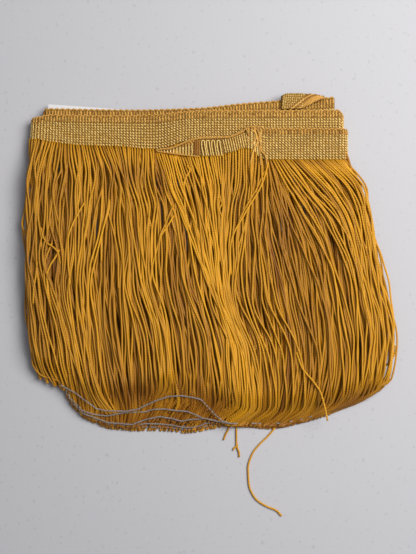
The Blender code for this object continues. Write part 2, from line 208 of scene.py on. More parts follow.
# Hem stitching of each layer, from the top one down, in pixels
HEM_LINES = (
    (
        (30, 371), (35, 374), (47, 381), (62, 386.5), (75, 393.5), (86, 402), (96, 409), (105, 411),
        (117, 411.5), (126, 411.7), (138, 409.4), (145, 406), (156, 401), (168, 397), (181, 396),
        (193.5, 398), (201, 400), (209, 408.6), (216, 416), (223, 421.5), (230.5, 424), (249, 424),
        (268, 425), (284, 424), (310, 419), (333, 411), (345, 402), (360, 394),
    ),
    (
        (32, 370), (49, 379), (62, 386), (70, 400), (82, 412), (88, 414), (96, 416), (106, 417),
        (114, 415.5), (125, 413.5), (144, 413), (153, 410.5), (164, 410), (176, 411.5), (187, 412.4),
        (196, 416), (202, 419), (211, 421), (228, 424.5), (249, 425), (284, 425), (310, 419), (333, 411),
        (360, 394),
    ),
    (
        (32, 370), (49, 379), (62, 388), (70, 403), (82, 415), (96, 420), (107, 424), (131, 426), (145, 421),
        (159, 418), (172, 420), (181, 422.6), (190, 421), (206, 420), (228, 424.5), (249, 425), (284, 425),
        (310, 419), (333, 411), (360, 394),
    ),
    (
        (32, 370), (49, 379), (62, 388), (70, 404), (82, 416), (96, 422), (107, 426), (131, 428),
        (145, 425.5), (160, 426), (170.5, 427), (181, 429), (190, 429.6), (199, 428), (206, 425),
        (228, 424.5), (249, 425), (284, 426), (310, 420), (333, 412), (360, 395),
    ),
    (
        (32, 370), (49, 379), (62, 389), (70, 405), (82, 417), (96, 423), (107, 427.5), (131, 429.5),
        (156, 429.5), (170.5, 430), (186, 432), (199, 430.5), (209, 428), (228, 425), (249, 426), (272, 428),
        (286, 426), (310, 420), (331, 414), (343, 404), (360, 396),
    ),
)

# Right end of the hem, which curls under: its reach in pixels and the heights that are left
CURLED_FROM = 230.0
CURLED_FULL = 252.0
CURLED_HEIGHTS = (1.0, 1.0, 1.0, 0.95, 0.72, 0.4)

# Chain stitching of the hem: its links, how it follows the strands, and where it shows, in pixels
HEM_OVERHANG = 1.3 * MM
HEM_PITCH = 1.35 * MM
HEM_RADIUS = 0.23 * MM
HEM_SLANT = 0.35 * MM
HEM_LEAN = 1.4
HEM_LIFT = 0.62 * MM
HEM_STEP = -3
HEM_SMOOTHING = 5
HEM_LEVEL_ENDS = 3
HEM_SPAN = (60.0, 237.0)
HEM_STRAY_SHARE = 0.12
HEM_TONES = (0.3, 1.0)
LINK_ALONG = np.array([-0.55, -0.25, 0.25, 0.55])
LINK_SWELL = np.array([0.6, 1.0, 1.0, 0.6])

# Layers of strands from the top one down: width in strand widths, tuck and heights in mm. The lower layers'
# darker tones are painted shade, as they lie under the ones over them.
LAYER_COLUMNS = (
    "name", "node", "run", "hem", "loops", "width", "tuck", "parting", "share", "tone", "heights",
)
LAYERS = (
    (
        "strands_top", "fringe_front_outer", 4, 0, 62, 1.0, 0.0, 1.0, 1.0, 0.74,
        (12.0, 12.2, 11.6, 7.6, 4.3),
    ),
    (
        "strands_top_lower", "fringe_front_outer", 4, 0, 66, 1.05, 1.2, 0.4, 0.99, 0.45,
        (10.7, 10.9, 10.2, 6.4, 3.6),
    ),
    (
        "strands_front_middle", "fringe_front_inner", 2, 1, 76, 1.15, 0.5, 0.0, 0.985, 0.40,
        (9.5, 9.7, 8.8, 5.2, 2.9),
    ),
    (
        "strands_front_inner", "fringe_front_inner", 0, 2, 84, 1.5, 0.5, 0.0, 0.96, 0.36,
        (7.8, 8.0, 7.0, 4.0, 2.2),
    ),
    (
        "strands_back_inner", "fringe_back_inner", 1, 3, 84, 1.0, 0.0, 0.0, 0.95, 0.40,
        (3.2, 3.2, 3.0, 2.2, 1.5),
    ),
    (
        "strands_back_outer", "fringe_back_outer", 3, 4, 90, 0.95, 0.0, 0.0, 0.99, 0.60,
        (0.9, 0.9, 0.9, 0.9, 0.8),
    ),
)

# Layer whose strands are evenly far apart at the band, and layer that is sewn with the one over it
TOP_LAYER = "strands_top"
UNSEWN_LAYER = "strands_top_lower"

# One loop: points down a leg and round its turn, and how its leg ends are drawn together
LEG_STEPS = 56
TURN_POINTS = 7
LOOP_HALF_WIDTH = 0.45 * MM
LOOP_HOLD = 30
LOOP_DROPS = (0.5 * MM, 1.0 * MM)

# Roots and side edges of the layers: shares of a layer's width and length, and heights of its rounded sides
OUTER_REACH = 2.0 * MM
SHOULDER = 0.04
SHOULDER_REACH = 0.25
SHOULDER_HEIGHT = 3.4 * MM
ROOT_SHOULDER_HEIGHT = 4.9 * MM
ROOT_TUCK = 0.6 * MM

# Uneven lie of the strands: waves, as size in mm and counts across and along, their spreads, and drifts
CLUMPS = ((1.2, 9.0, 1.2), (0.8, 21.0, 2.3), (0.5, 41.0, 4.0))
CLUMP_COPIES = 3
WANDERS = ((1.2, 0.9), (0.6, 2.4), (0.24, 5.6))
RISES = ((0.34, 1.9), (0.2, 4.3))
CLUMP_RATES = (0.75, 1.25)
WANDER_RATES = (0.6, 1.4)
WANDER_SIZES = (0.4, 1.4)
RISE_SPREAD = 0.28 * MM
RISE_SHARE = 0.1
PLACE_DRIFT = 0.2
SETTLE_SHARE = 0.14
SETTLE_POWER = 1.3
HEM_HOLD = 0.6
TONE_SPREAD = 0.18
SEED = 11
HEADING_SEED = SEED + 30
HEM_SEED = SEED + 50
STRAY_SEED = SEED + 80
LOOSE_SEED = SEED + 90

# Places where the strands part, in pixels, their lean across per pixel down, and how far they reach
PARTING_COLUMNS = ("x", "y", "width", "height", "lean")
PARTINGS = (
    (117, 190, 3, 16, 0.1), (159, 180, 4, 28, -0.1), (60, 170, 3, 10, 0.2), (54, 256, 7, 30, 0.1),
    (310, 256, 3, 34, -0.35), (276, 228, 3, 16, -0.5), (221, 206, 2.5, 14, 0.2),
)
PARTING_PUSH = 0.6
PARTING_REACH = 4.5

# Shaded hollows of the fringe, in pixels: middle, half width and half height, and how deep the shade is
SHADE_COLUMNS = ("x", "y", "width", "height", "depth")
SHADES = (
    (42, 250, 28, 130, 0.4), (52, 258, 9, 30, 1.0), (130, 176, 26, 15, 0.6), (160, 184, 7, 24, 0.8),
    (137, 393, 34, 17, 1.0), (212, 406, 24, 19, 1.0), (300, 432, 76, 15, 1.0), (352, 406, 26, 19, 0.8),
    (262, 414, 14, 14, 0.35), (262, 215, 12, 40, 0.4), (284, 235, 10, 30, 0.5), (90, 402, 22, 14, 0.35),
    (28, 300, 7, 70, 0.5), (362, 172, 9, 36, 0.2), (150, 424, 66, 12, 0.9), (236, 200, 6, 30, 0.3),
    (310, 330, 8, 40, 0.2), (306, 162, 46, 4.5, 0.5), (100, 147, 80, 4, 0.35),
)

# Strands that lie across the others or stand off the sides, in pixels, with their height in mm
STRAYS = (
    (12.6, ((174, 205), (170, 214), (165, 226), (160, 238), (159, 256), (161, 280), (160, 310))),
    (12.4, ((174, 216), (168, 226), (162, 235), (157, 250), (152, 270), (150, 292))),
    (12.8, ((268, 163), (264, 178), (258, 192), (250, 205), (240, 222), (233, 235), (230, 250), (231, 275))),
    (12.5, ((264, 172), (256, 190), (247, 205), (238, 225), (236, 246), (238, 270))),
    (12.5, ((219, 196), (222, 204), (219, 210), (222, 218), (221, 236), (219, 262))),
    (12.3, ((187, 166), (190, 171), (187, 176), (184, 186), (185, 206), (187, 230))),
    (12.3, ((53, 243), (50, 250), (47, 258), (45, 270), (46, 290))),
    (12.4, ((60, 250), (56, 258), (51, 266), (48, 276), (49, 296))),
    (12.6, ((42, 228), (44, 236), (48, 243), (54, 247), (59, 253), (61, 264))),
    (12.3, ((38, 262), (37, 275), (35, 288), (34, 304))),
    (12.6, ((61, 148), (59, 163), (56, 178), (54, 192), (56, 208), (60, 224))),
    (12.5, ((85, 203), (79, 214), (73, 226), (69, 240), (69, 260), (71, 284))),
    (12.5, ((110, 200), (108, 212), (105, 224), (102, 242), (102, 262))),
    (12.4, ((108, 210), (112, 224), (116, 240), (119, 262), (119, 288))),
    (12.2, ((306, 180), (318, 194), (329, 206), (338, 220), (343, 238), (346, 262))),
    (12.2, ((292, 196), (303, 216), (316, 238), (328, 262), (336, 290))),
    (12.0, ((296, 352), (302, 368), (312, 380), (320, 392), (324, 406), (327, 420))),
    (6.0, (
        (26, 270), (25, 294), (28, 320), (32, 348), (31, 362), (36, 372), (42, 377), (56, 381), (62, 386),
    )),
    (7.5, ((26, 206), (23, 216), (21.5, 224), (24, 232), (26, 244))),
    (6.5, ((386, 318), (392, 343), (396.5, 348), (395.5, 354), (391, 362), (385.5, 367), (380, 371))),
    (5.5, ((376, 356), (379.5, 371), (379.5, 378), (376.5, 384), (370, 390), (362, 396))),
)
STRAY_STEPS = 40
STRAY_DIP = 0.9 * MM
STRAY_TONES = (0.45, 0.95)

# Short loose ends, in pixels, and the long loose strand, in mm
LOOSE_ENDS = (
    ((230.5, 425), (229, 431), (226, 437), (224, 442.5)),
    ((237, 425), (237, 436), (237, 449), (234.5, 451), (233.6, 453)),
    ((237.4, 446), (238, 451), (239.5, 455), (240, 460)),
)
LOOSE_STRAND = (
    (43.9, -148.2), (40.3, -152.4), (35.6, -157.0), (32.0, -162.0), (30.0, -169.0), (30.4, -177.0),
    (33.7, -184.6), (40.0, -189.0), (44.6, -190.9), (47.4, -193.8),
)
LOOSE_HEIGHT = 0.65 * MM
LOOSE_STEPS = 60
LOOSE_TONES = (0.5, 0.9)

# Twisted end of the band: its routes in pixels, and its heights, turns and radii in metres
ROLLED_EDGE = (
    (156, 151), (160, 149.5), (168, 149), (178, 146), (186, 142.5), (200, 139), (215, 138.5), (228, 138),
    (236, 135.5), (241, 133), (247, 129),
)
ROLLED_UNDER = ((157, 151.5), (165, 152.6), (173, 153.8), (181, 155), (190, 156.2), (199, 157))
PUCKER = (
    ((244.1, 128.2), (247.2, 132.7), (249.0, 137.0)),
    ((254.0, 131.6), (255.7, 134.4), (255.7, 138.9), (254.0, 141.7), (252.4, 145.0)),
    ((258.2, 137.7), (256.8, 143.9), (252.9, 152.3), (251.7, 157.1), (250.0, 165.8)),
    ((257.3, 145.0), (259.0, 149.0), (259.3, 153.7), (259.9, 158.5), (260.4, 165.8)),
    ((260.2, 146.7), (260.7, 151.8), (264.0, 155.1), (265.8, 159.6), (266.3, 165.8)),
    ((259.3, 133.0), (259.3, 141.7), (260.2, 144.5), (260.0, 150.0)),
    ((250.5, 130.4), (254.0, 132.6), (256.6, 138.0), (257.6, 145.0)),
    ((254.5, 129.2), (257.6, 131.8), (258.8, 137.0), (259.2, 142.0)),
)
# Cords along the crease of the twisted end; their dark tones are painted shade of the fold.
CREASE = (
    ((195.4, 141.8), (195.2, 148.0), (194.6, 154.6)),
    ((197.4, 141.0), (197.3, 148.0), (196.8, 155.4)),
    ((199.3, 140.8), (199.4, 148.0), (199.2, 155.8)),
)
ROLL_COLUMNS = ("route", "heights", "turn")
ROLLS = (
    (ROLLED_EDGE, (9.6 * MM, 11.6 * MM, 12.1 * MM), 0.28 * MM),
    (ROLLED_UNDER, (9.4 * MM, 10.4 * MM, 11.4 * MM), 0.1 * MM),
)
ROLL_STEPS = 80
ROLL_STRANDS = 2
ROLL_TWISTS = 13
ROLL_RADIUS = 0.32 * MM
ROLL_TONES = (0.4, 0.9)
PUCKER_STEPS = 18
PUCKER_HEIGHT = 11.9 * MM
PUCKER_RISE = 0.6 * MM
PUCKER_RADIUS = 0.5 * MM
PUCKER_TONES = (0.4, 1.0)
CREASE_STEPS = 12
CREASE_HEIGHT = 11.0 * MM
CREASE_RADIUS = 0.52 * MM
CREASE_SHADE_TONES = (0.0, 0.25)

# Bright hairpins beside the crease: places across, width, ends and lean in pixels, and angles round the bend
HAIRPINS = (203.0, 207.8, 213.0, 218.4)
HAIRPIN_WIDTH = 3.0
HAIRPIN_TOP = 141.0
HAIRPIN_LOWER = 156.5
HAIRPIN_LEAN = 2.0
HAIRPIN_LEG = 2.2
HAIRPIN_BEND = (0.6, 1.57, 2.54)
HAIRPIN_STEPS = 30
HAIRPIN_HEIGHT = 11.5 * MM
HAIRPIN_RISE = 0.5 * MM
HAIRPIN_RADIUS = 0.36 * MM
HAIRPIN_TONES = (0.45, 0.85)

# Fan of stitches between the hairpins and the pucker: its upper and lower line in pixels
FAN_TOP = ((222.8, 140.2), (232.0, 138.2), (240.0, 135.2), (248.0, 132.2))
FAN_LOWER = ((226.0, 153.5), (235.5, 151.5), (244.0, 148.5), (251.0, 147.5))
FAN_STITCHES = 12
FAN_BEADS = 7
FAN_HEIGHT = 11.6 * MM
FAN_RADIUS = 0.38 * MM
FAN_TONES = (0.55, 0.25)

# Folded starting end of the band, in mm: place along it, its top and its front leg's lower edge
FOLD = (
    (46.7, 22.6, 15.9), (49.5, 23.9, 15.9), (56.0, 24.0, 16.1), (59.5, 23.7, 17.2), (64.0, 23.3, 19.6),
    (68.5, 22.3, 21.2),
)
FOLD_THICK = 1.0 * MM
FOLD_FRONT = 7.6 * MM
FOLD_BACK = 4.3 * MM
FOLD_BACK_DROP = 6.9 * MM
FOLD_STEP = 0.75 * MM
FOLD_STEPS = 24
FOLD_CLOTH_SHARE = 0.7

# Shares of the way over the fold that its front leg, top and back leg take: start and length
FOLD_FRONT_LEG = (0.0, 0.45)
FOLD_OVER = (0.45, 0.25)
FOLD_BACK_LEG = (0.7, 0.3)
FOLD_ROUND = 0.35

# Metal grid and drawn yarns of the folded end, in metres and shares of the way over, skew in mm
GRID_INSET = 0.5 * MM
GRID_PITCH = 1.1 * MM
GRID_SHARE = 0.5
GRID_ROWS = (0.03, 0.46, 9)
GRID_SKEW = 2.0 * MM
GRID_LENGTH = 0.8 * MM
GRID_SLANT = 0.012
GRID_LIFT = 0.1 * MM
GRID_RADIUS = 0.27 * MM
GRID_TONES = (0.5, 0.25)
DRAWN_START = 0.16
DRAWN_INSET = 1.0 * MM
DRAWN_PITCH = 1.5 * MM
DRAWN_REACH = 0.52
DRAWN_STEPS = 14
DRAWN_SKEW = 11.5
DRAWN_LIMIT = 0.3 * MM
DRAWN_LIFT = 0.12 * MM
DRAWN_RADIUS = 0.33 * MM

# Finishes: repeats a metre of the noises, shares of their parts, and the slope and depth of the stitches
STITCH_SLOPE = 0.9
SEAM_SHARPNESS = 3.0
DYE_PATCHES = 45.0
DYE_FIBRES = 1400.0
GRAIN_REPEATS = 2600.0
SHADE_REPEATS = 7.0
SPECK_LIMITS = (0.27, 0.34)
SPECK_SHARES = (0.25, 0.35, 0.65)

# Sockets of the colour mix node
MIX_FACTOR = 0
MIX_FIRST = 6
MIX_SECOND = 7
MIX_RESULT = 2

UP = np.array([0.0, 0.0, 1.0])
UPRIGHT = np.array([0.0, 1.0, 0.0])
SMALLEST = 1e-12


def named(columns, rows):
    """A table's rows, each by its columns' names."""
    return [dict(zip(columns, row)) for row in rows]


def colour_property(name, description, default):
    return bpy.props.FloatVectorProperty(
        name=name, description=description, default=default, subtype="COLOR", size=3, min=0.0, max=1.0
    )


class TrimSizes(bpy.types.PropertyGroup):
    """Sizes of the yarns"""

    strand_width: bpy.props.FloatProperty(
        name="Strand width", description="Width of one chainette strand", default=1.0 * MM, unit="LENGTH"
    )
    strand_flatness: bpy.props.FloatProperty(
        name="Strand flatness", description="Height of a strand as a share of its width", default=0.85,
        subtype="FACTOR",
    )
    strand_sides: bpy.props.IntProperty(
        name="Strand sides", description="Faces round one strand", default=6
    )


class TrimColours(bpy.types.PropertyGroup):
    """Colours of the yarns, the card and the floor"""

    # The dark yarn colour is that of the darkest strands and of the deepest painted shade.
    yarn_dark: colour_property("Yarn, dark", "Yarn in its darkest strands", (0.25, 0.086, 0.001))
    yarn_light: colour_property("Yarn, light", "Yarn in its lightest strands", (0.730, 0.345, 0.006))
    cord: colour_property("Top edge", "Yarn of the band's corded top edge", (0.76, 0.41, 0.080))
    metal_dark: colour_property("Metal yarn, dark", "Yarn in its darkest stitches", (0.74, 0.42, 0.075))
    metal_light: colour_property("Metal yarn, light", "Yarn in its lightest stitches", (0.97, 0.69, 0.235))
    cloth: colour_property("Band cloth", "Ground cloth of the band", (0.10, 0.038, 0.003))
    hem: colour_property("Hem thread", "Chain stitching of the hem", (0.36, 0.32, 0.31))
    board: colour_property("Card", "Face of the card", (0.70, 0.70, 0.71))
    floor: colour_property("Floor", "Pale floor under the trim", (0.50, 0.50, 0.53))


def through(stations, values, at):
    """Values at these places on smooth curves through the stations' values, which they never overshoot."""
    stations = np.asarray(stations, float)
    values = np.asarray(values, float)
    if stations[0] > stations[-1]:
        stations, values = stations[::-1], values[::-1]
    column = (-1,) + (1,) * (values.ndim - 1)
    steps = np.diff(stations).reshape(column)
    secants = np.diff(values, axis=0) / steps
    before, after = secants[:-1], secants[1:]
    agree = before * after > 0
    middle = np.where(agree, 2 * before * after / np.where(agree, before + after, 1.0), 0.0)
    slopes = np.concatenate((secants[:1], middle, secants[-1:]))
    at = np.clip(at, stations[0], stations[-1])
    i = np.clip(np.searchsorted(stations, at) - 1, 0, len(stations) - 2)
    step = steps[i]
    t = (at - stations[i]).reshape(column) / step
    return (
        (1 + 2 * t) * (1 - t) ** 2 * values[i]
        + t * (1 - t) ** 2 * step * slopes[i]
        + t * t * (3 - 2 * t) * values[i + 1]
        + t * t * (t - 1) * step * slopes[i + 1]
    )


def across_pixels(places):
    """Layout x in metres of these pixel columns."""
    return (np.asarray(places, float) - PIXEL_ZERO[0]) * PIXEL


def from_pixels(points):
    """Layout places in metres of these pixels."""
    points = np.asarray(points, float)
    return np.stack((across_pixels(points[..., 0]), (PIXEL_ZERO[1] - points[..., 1]) * PIXEL), axis=-1)


def smooth_route(points, count):
    """This many points, evenly far apart, on the smooth curve through the route's points."""
    points = np.asarray(points, float)
    reach = np.concatenate(([0.0], np.cumsum(np.linalg.norm(np.diff(points, axis=0), axis=1))))
    return through(reach, points, np.linspace(0.0, reach[-1], count))


def unit(vectors):
    return vectors / np.maximum(np.linalg.norm(vectors, axis=-1, keepdims=True), SMALLEST)


def tubes(paths, radii, sides, flatness=1.0, reference=UP):
    """Closed tubes along these paths, as points, four-sided faces, end faces and two texture values."""
    count, length, _ = paths.shape
    radii = np.broadcast_to(np.asarray(radii, float), (count, length))
    along = unit(np.gradient(paths, axis=1))
    across = unit(np.cross(along, reference))
    lift = np.cross(across, along)
    angles = math.tau * (np.arange(sides) + 0.5) / sides
    ring = (
        across[:, :, None, :] * np.cos(angles)[:, None]
        + lift[:, :, None, :] * np.sin(angles)[:, None] * flatness
    )
    points = paths[:, :, None, :] + ring * radii[:, :, None, None]
    index = np.arange(count * length * sides).reshape(count, length, sides)
    turned = np.roll(index, -1, axis=2)
    quads = np.stack((index[:, :-1], index[:, 1:], turned[:, 1:], turned[:, :-1]), axis=-1).reshape(-1, 4)
    ends = np.concatenate((index[:, 0, :], index[:, -1, ::-1]))
    steps = np.linalg.norm(np.diff(paths, axis=1), axis=2)
    reach = np.concatenate((np.zeros((count, 1)), np.cumsum(steps, axis=1)), axis=1)
    texture = np.empty((count, length, sides, 2))
    texture[..., 0] = reach[:, :, None]
    texture[..., 1] = np.abs(np.arange(sides) / sides - 0.5) * 2
    return points.reshape(-1, 3), quads, ends, texture.reshape(-1, 2)


def mesh_object(name, points, quads, ends, texture=None, tones=None):
    """Object of one smooth mesh in the frame, with the place along its yarn and its tone as attributes."""
    shifted = np.array(points, float)
    shifted[:, :2] += LAYOUT_SHIFT
    mesh = bpy.data.meshes.new(name)
    mesh.vertices.add(len(shifted))
    mesh.vertices.foreach_set("co", shifted.astype(np.float32).ravel())
    corners = np.concatenate((quads.ravel(), ends.ravel()))
    counts = np.concatenate([np.full(len(faces), faces.shape[1]) for faces in (quads, ends)])
    mesh.loops.add(len(corners))
    mesh.loops.foreach_set("vertex_index", corners.astype(np.int32))
    mesh.polygons.add(len(counts))
    mesh.polygons.foreach_set("loop_start", np.concatenate(([0], np.cumsum(counts)[:-1])).astype(np.int32))
    mesh.update(calc_edges=True)
    if texture is not None:
        layer = mesh.uv_layers.new(name="yarn")
        layer.data.foreach_set("uv", texture[corners].astype(np.float32).ravel())
    if tones is not None:
        values = mesh.attributes.new("tone", "FLOAT", "POINT")
        values.data.foreach_set("value", tones.astype(np.float32))
    mesh.validate()
    mesh.shade_smooth()
    obj = bpy.data.objects.new(name, mesh)
    bpy.context.collection.objects.link(obj)
    return obj


def tube_object(name, paths, radii, sides, tones, flatness=1.0, reference=UP):
    """Object of closed tubes, with one tone to each or one to each of their points."""
    points, quads, ends, texture = tubes(np.asarray(paths), radii, sides, flatness, reference)
    tones = np.ravel(tones)
    return mesh_object(name, points, quads, ends, texture, np.repeat(tones, len(points) // len(tones)))


def sheet_section(steps, half):
    """Shares of the way up one face of a sheet and down the other, and the faces' heights over its middle."""
    shares = np.linspace(0.0, 1.0, steps)
    return np.concatenate((shares, shares[::-1])), np.repeat((half, -half), steps)


def sheet_object(name, points):
    """Object of a closed sheet, from the points of its cross sections."""
    count, size, _ = points.shape
    index = np.arange(count * size).reshape(count, size)
    turned = np.roll(index, -1, axis=1)
    quads = np.stack((index[:-1], turned[:-1], turned[1:], index[1:]), axis=-1).reshape(-1, 4)
    ends = np.stack((index[0, ::-1], index[-1]))
    return mesh_object(name, points.reshape(-1, 3), quads, ends)


def place_piece(obj, material, nodes=()):
    """Gives a piece its finish and makes it ride on the trim."""
    obj.data.materials.append(material)
    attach(obj, "root")
    if nodes:
        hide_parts(*nodes)
    return obj


def sizes():
    return bpy.context.scene.trim_sizes


def colours():
    return bpy.context.scene.trim_colours


def feed(tree, socket, value):
    """Links a socket to the one given, or sets its value."""
    if isinstance(value, bpy.types.NodeSocket):
        tree.links.new(value, socket)
    else:
        socket.default_value = value


def add(tree, kind, settings=None, **inputs):
    """Node of this kind, with its settings, and its inputs set or linked by name."""
    made = tree.nodes.new("ShaderNode" + kind)
    for key, value in (settings or {}).items():
        setattr(made, key, value)
    for key, value in inputs.items():
        feed(tree, made.inputs[key.replace("_", " ")], value)
    return made


def maths(tree, operation, first, second=0.0):
    made = add(tree, "Math", {"operation": operation})
    feed(tree, made.inputs[0], first)
    feed(tree, made.inputs[1], second)
    return made.outputs[0]


def scaled(tree, value, size, base):
    """A value times size, with base added."""
    return maths(tree, "ADD", maths(tree, "MULTIPLY", value, size), base)


def group(name, inputs, outputs, fill):
    """Shader node group of this name, made once. Inputs and outputs are pairs of name and kind."""
    tree = bpy.data.node_groups.get(name)
    if tree:
        return tree
    tree = bpy.data.node_groups.new(name, "ShaderNodeTree")
    for sockets, way in ((inputs, "INPUT"), (outputs, "OUTPUT")):
        for label, kind in sockets:
            tree.interface.new_socket(label, in_out=way, socket_type="NodeSocket" + kind)
    source = tree.nodes.new("NodeGroupInput")
    target = tree.nodes.new("NodeGroupOutput")
    for label, socket in fill(tree, source.outputs).items():
        tree.links.new(socket, target.inputs[label])
    return tree


def use_group(tree, name, **inputs):
    """Outputs of the named group as a node in this tree."""
    made = tree.nodes.new("ShaderNodeGroup")
    made.node_tree = GROUPS[name]()
    for key, value in inputs.items():
        feed(tree, made.inputs[key.replace("_", " ")], value)
    return made.outputs


def chain_stitch():
    """Slanted stitches down both sides of a knitted yarn."""

    def fill(tree, given):
        parts = add(tree, "SeparateXYZ", Vector=given["Yarn"]).outputs
        along = maths(tree, "DIVIDE", parts["X"], given["Pitch"])
        slant = maths(tree, "MULTIPLY", parts["Y"], STITCH_SLOPE)
        wave = maths(tree, "SINE", maths(tree, "MULTIPLY", maths(tree, "ADD", along, slant), math.pi))
        height = maths(tree, "ABSOLUTE", wave)
        gap = maths(tree, "POWER", maths(tree, "SUBTRACT", 1.0, height), SEAM_SHARPNESS)
        return {"Height": height, "Fill": maths(tree, "SUBTRACT", 1.0, gap)}

    return group(
        "Chain stitch",
        (("Yarn", "Vector"), ("Pitch", "Float")),
        (("Height", "Float"), ("Fill", "Float")),
        fill,
    )


def noise(tree, repeats, detail):
    """Noise fixed to the object, with its repeats a metre."""
    place = add(tree, "TexCoord").outputs["Object"]
    return add(tree, "TexNoise", Vector=place, Scale=repeats, Detail=detail).outputs[0]


def uneven_dye():
    """A yarn's tone, with slow changes over the trim and fine ones along the fibres."""

    def fill(tree, given):
        slow = maths(tree, "SUBTRACT", noise(tree, DYE_PATCHES, 2.0), 0.5)
        fine = maths(tree, "SUBTRACT", noise(tree, DYE_FIBRES, 3.0), 0.5)
        slow = maths(tree, "MULTIPLY", slow, given["Slow"])
        fine = maths(tree, "MULTIPLY", fine, given["Fine"])
        tone = maths(tree, "ADD", given["Tone"], maths(tree, "ADD", slow, fine))
        return {"Tone": add(tree, "Clamp", Value=tone).outputs[0], "Fibres": fine}

    return group(
        "Uneven dye",
        (("Tone", "Float"), ("Slow", "Float"), ("Fine", "Float")),
        (("Tone", "Float"), ("Fibres", "Float")),
        fill,
    )


def plain_weave():
    """Threads over and under each other, at a pitch in metres."""

    def fill(tree, given):
        parts = add(tree, "SeparateXYZ", Vector=add(tree, "TexCoord").outputs["Object"]).outputs
        waves = []
        for axis in ("X", "Y"):
            turns = maths(tree, "MULTIPLY", maths(tree, "DIVIDE", parts[axis], given["Pitch"]), math.pi)
            waves.append(maths(tree, "SINE", turns))
        return {"Height": scaled(tree, maths(tree, "MULTIPLY", *waves), 0.5, 0.5)}

    return group("Plain weave", (("Pitch", "Float"),), (("Height", "Float"),), fill)


def fine_speckle():
    """Sparse small dark specks, a fine grain and a slow unevenness on a pale face."""

    def fill(tree, given):
        specks = noise(tree, given["Scale"], 1.0)
        least, most = SPECK_LIMITS
        clear = add(tree, "MapRange", Value=specks, From_Min=least, From_Max=most).outputs[0]
        grain_share, slow_share, base = SPECK_SHARES
        slow = maths(tree, "MULTIPLY", noise(tree, SHADE_REPEATS, 2.0), slow_share)
        soft = scaled(tree, noise(tree, GRAIN_REPEATS, 2.0), grain_share, slow)
        return {"Grain": maths(tree, "MULTIPLY", clear, maths(tree, "ADD", soft, base))}

    return group("Fine speckle", (("Scale", "Float"),), (("Grain", "Float"),), fill)


GROUPS = {
    "Chain stitch": chain_stitch,
    "Uneven dye": uneven_dye,
    "Plain weave": plain_weave,
    "Fine speckle": fine_speckle,
}


def mix(tree, factor, first, second, blend="MIX"):
    """Colour mixed from two, each a socket or three values."""
    made = tree.nodes.new("ShaderNodeMix")
    made.data_type = "RGBA"
    made.blend_type = blend
    feed(tree, made.inputs[MIX_FACTOR], factor)
    for place, value in ((MIX_FIRST, first), (MIX_SECOND, second)):
        is_socket = isinstance(value, bpy.types.NodeSocket)
        feed(tree, made.inputs[place], value if is_socket else (*value, 1.0))
    return made.outputs[MIX_RESULT]


def darker(colour, share):
    return tuple(share * part for part in colour)


def new_material(name):
    """Material of this name and its tree and shader, or the material and None if it is there already."""
    material = bpy.data.materials.get(name)
    if material:
        return material, None, None
    material = bpy.data.materials.new(name)
    material.use_nodes = True
    tree = material.node_tree
    return material, tree, tree.nodes["Principled BSDF"]


def set_shader(tree, shader, colour, roughness, height, strength, depth, **constants):
    """Links colour, roughness and bump, and sets the values that are the same all over."""
    tree.links.new(colour, shader.inputs["Base Color"])
    tree.links.new(roughness, shader.inputs["Roughness"])
    bump = add(tree, "Bump", Height=height, Strength=strength, Distance=depth)
    tree.links.new(bump.outputs[0], shader.inputs["Normal"])
    for key, value in constants.items():
        shader.inputs[key.replace("_", " ")].default_value = value


def yarn_material(name, dark, light, pitch, slow, fine, gap, rough, **constants):
    """Knitted yarn: stitches down its length, uneven dye, and painted shade in the seams between the
    stitches.
    """
    material, tree, shader = new_material(name)
    if tree is None:
        return material
    yarn = add(tree, "UVMap", {"uv_map": "yarn"}).outputs[0]
    tone = add(tree, "Attribute", {"attribute_name": "tone"}).outputs["Fac"]
    stitch = use_group(tree, "Chain stitch", Yarn=yarn, Pitch=pitch)
    dye = use_group(tree, "Uneven dye", Tone=tone, Slow=slow, Fine=fine)
    # Painted shade: the seams between the stitches are darkened by the share gap.
    shade = scaled(tree, stitch["Fill"], gap, 1.0 - gap)
    shades = add(tree, "CombineColor", Red=shade, Green=shade, Blue=shade).outputs[0]
    colour = mix(tree, 1.0, mix(tree, dye["Tone"], dark, light), shades, "MULTIPLY")
    roughness = scaled(tree, dye["Fibres"], 0.5, rough)
    height = scaled(tree, dye["Fibres"], 0.6, stitch["Height"])
    set_shader(tree, shader, colour, roughness, height, strength=0.6, depth=0.25 * MM, **constants)
    return material


def chainette_material():
    shade = colours()
    return yarn_material(
        "Chainette yarn", shade.yarn_dark, shade.yarn_light, pitch=1.3 * MM, slow=0.4, fine=0.5, gap=0.36,
        rough=0.40, Sheen_Weight=0.05, Sheen_Roughness=0.4, Specular_IOR_Level=0.4,
    )


def cord_material():
    shade = colours()
    return yarn_material(
        "Corded edge yarn", shade.yarn_dark, shade.cord, pitch=0.9 * MM, slow=0.3, fine=0.6, gap=0.4,
        rough=0.45, Sheen_Weight=0.05, Specular_IOR_Level=0.35,
    )


def metal_yarn_material():
    shade = colours()
    return yarn_material(
        "Metal yarn", shade.metal_dark, shade.metal_light, pitch=0.5 * MM, slow=0.3, fine=0.8, gap=0.12,
        rough=0.3, Metallic=0.18, Specular_IOR_Level=0.6,
    )


def hem_material():
    shade = colours()
    return yarn_material(
        "Hem thread", darker(shade.hem, 0.45), shade.hem, pitch=0.6 * MM, slow=0.2, fine=0.5, gap=0.3,
        rough=0.6, Specular_IOR_Level=0.3,
    )


def band_cloth_material():
    """Ground cloth of the band, which shows between its stitches."""
    material, tree, shader = new_material("Band cloth")
    if tree is None:
        return material
    shade = colours()
    weave = use_group(tree, "Plain weave", Pitch=0.75 * MM)["Height"]
    dye = use_group(tree, "Uneven dye", Tone=weave, Slow=0.5, Fine=0.8)
    colour = mix(tree, dye["Tone"], shade.cloth, darker(shade.metal_dark, 0.45))
    roughness = scaled(tree, dye["Fibres"], 0.3, 0.7)
    set_shader(
        tree, shader, colour, roughness, weave, strength=0.6, depth=0.3 * MM, Specular_IOR_Level=0.25
    )
    return material


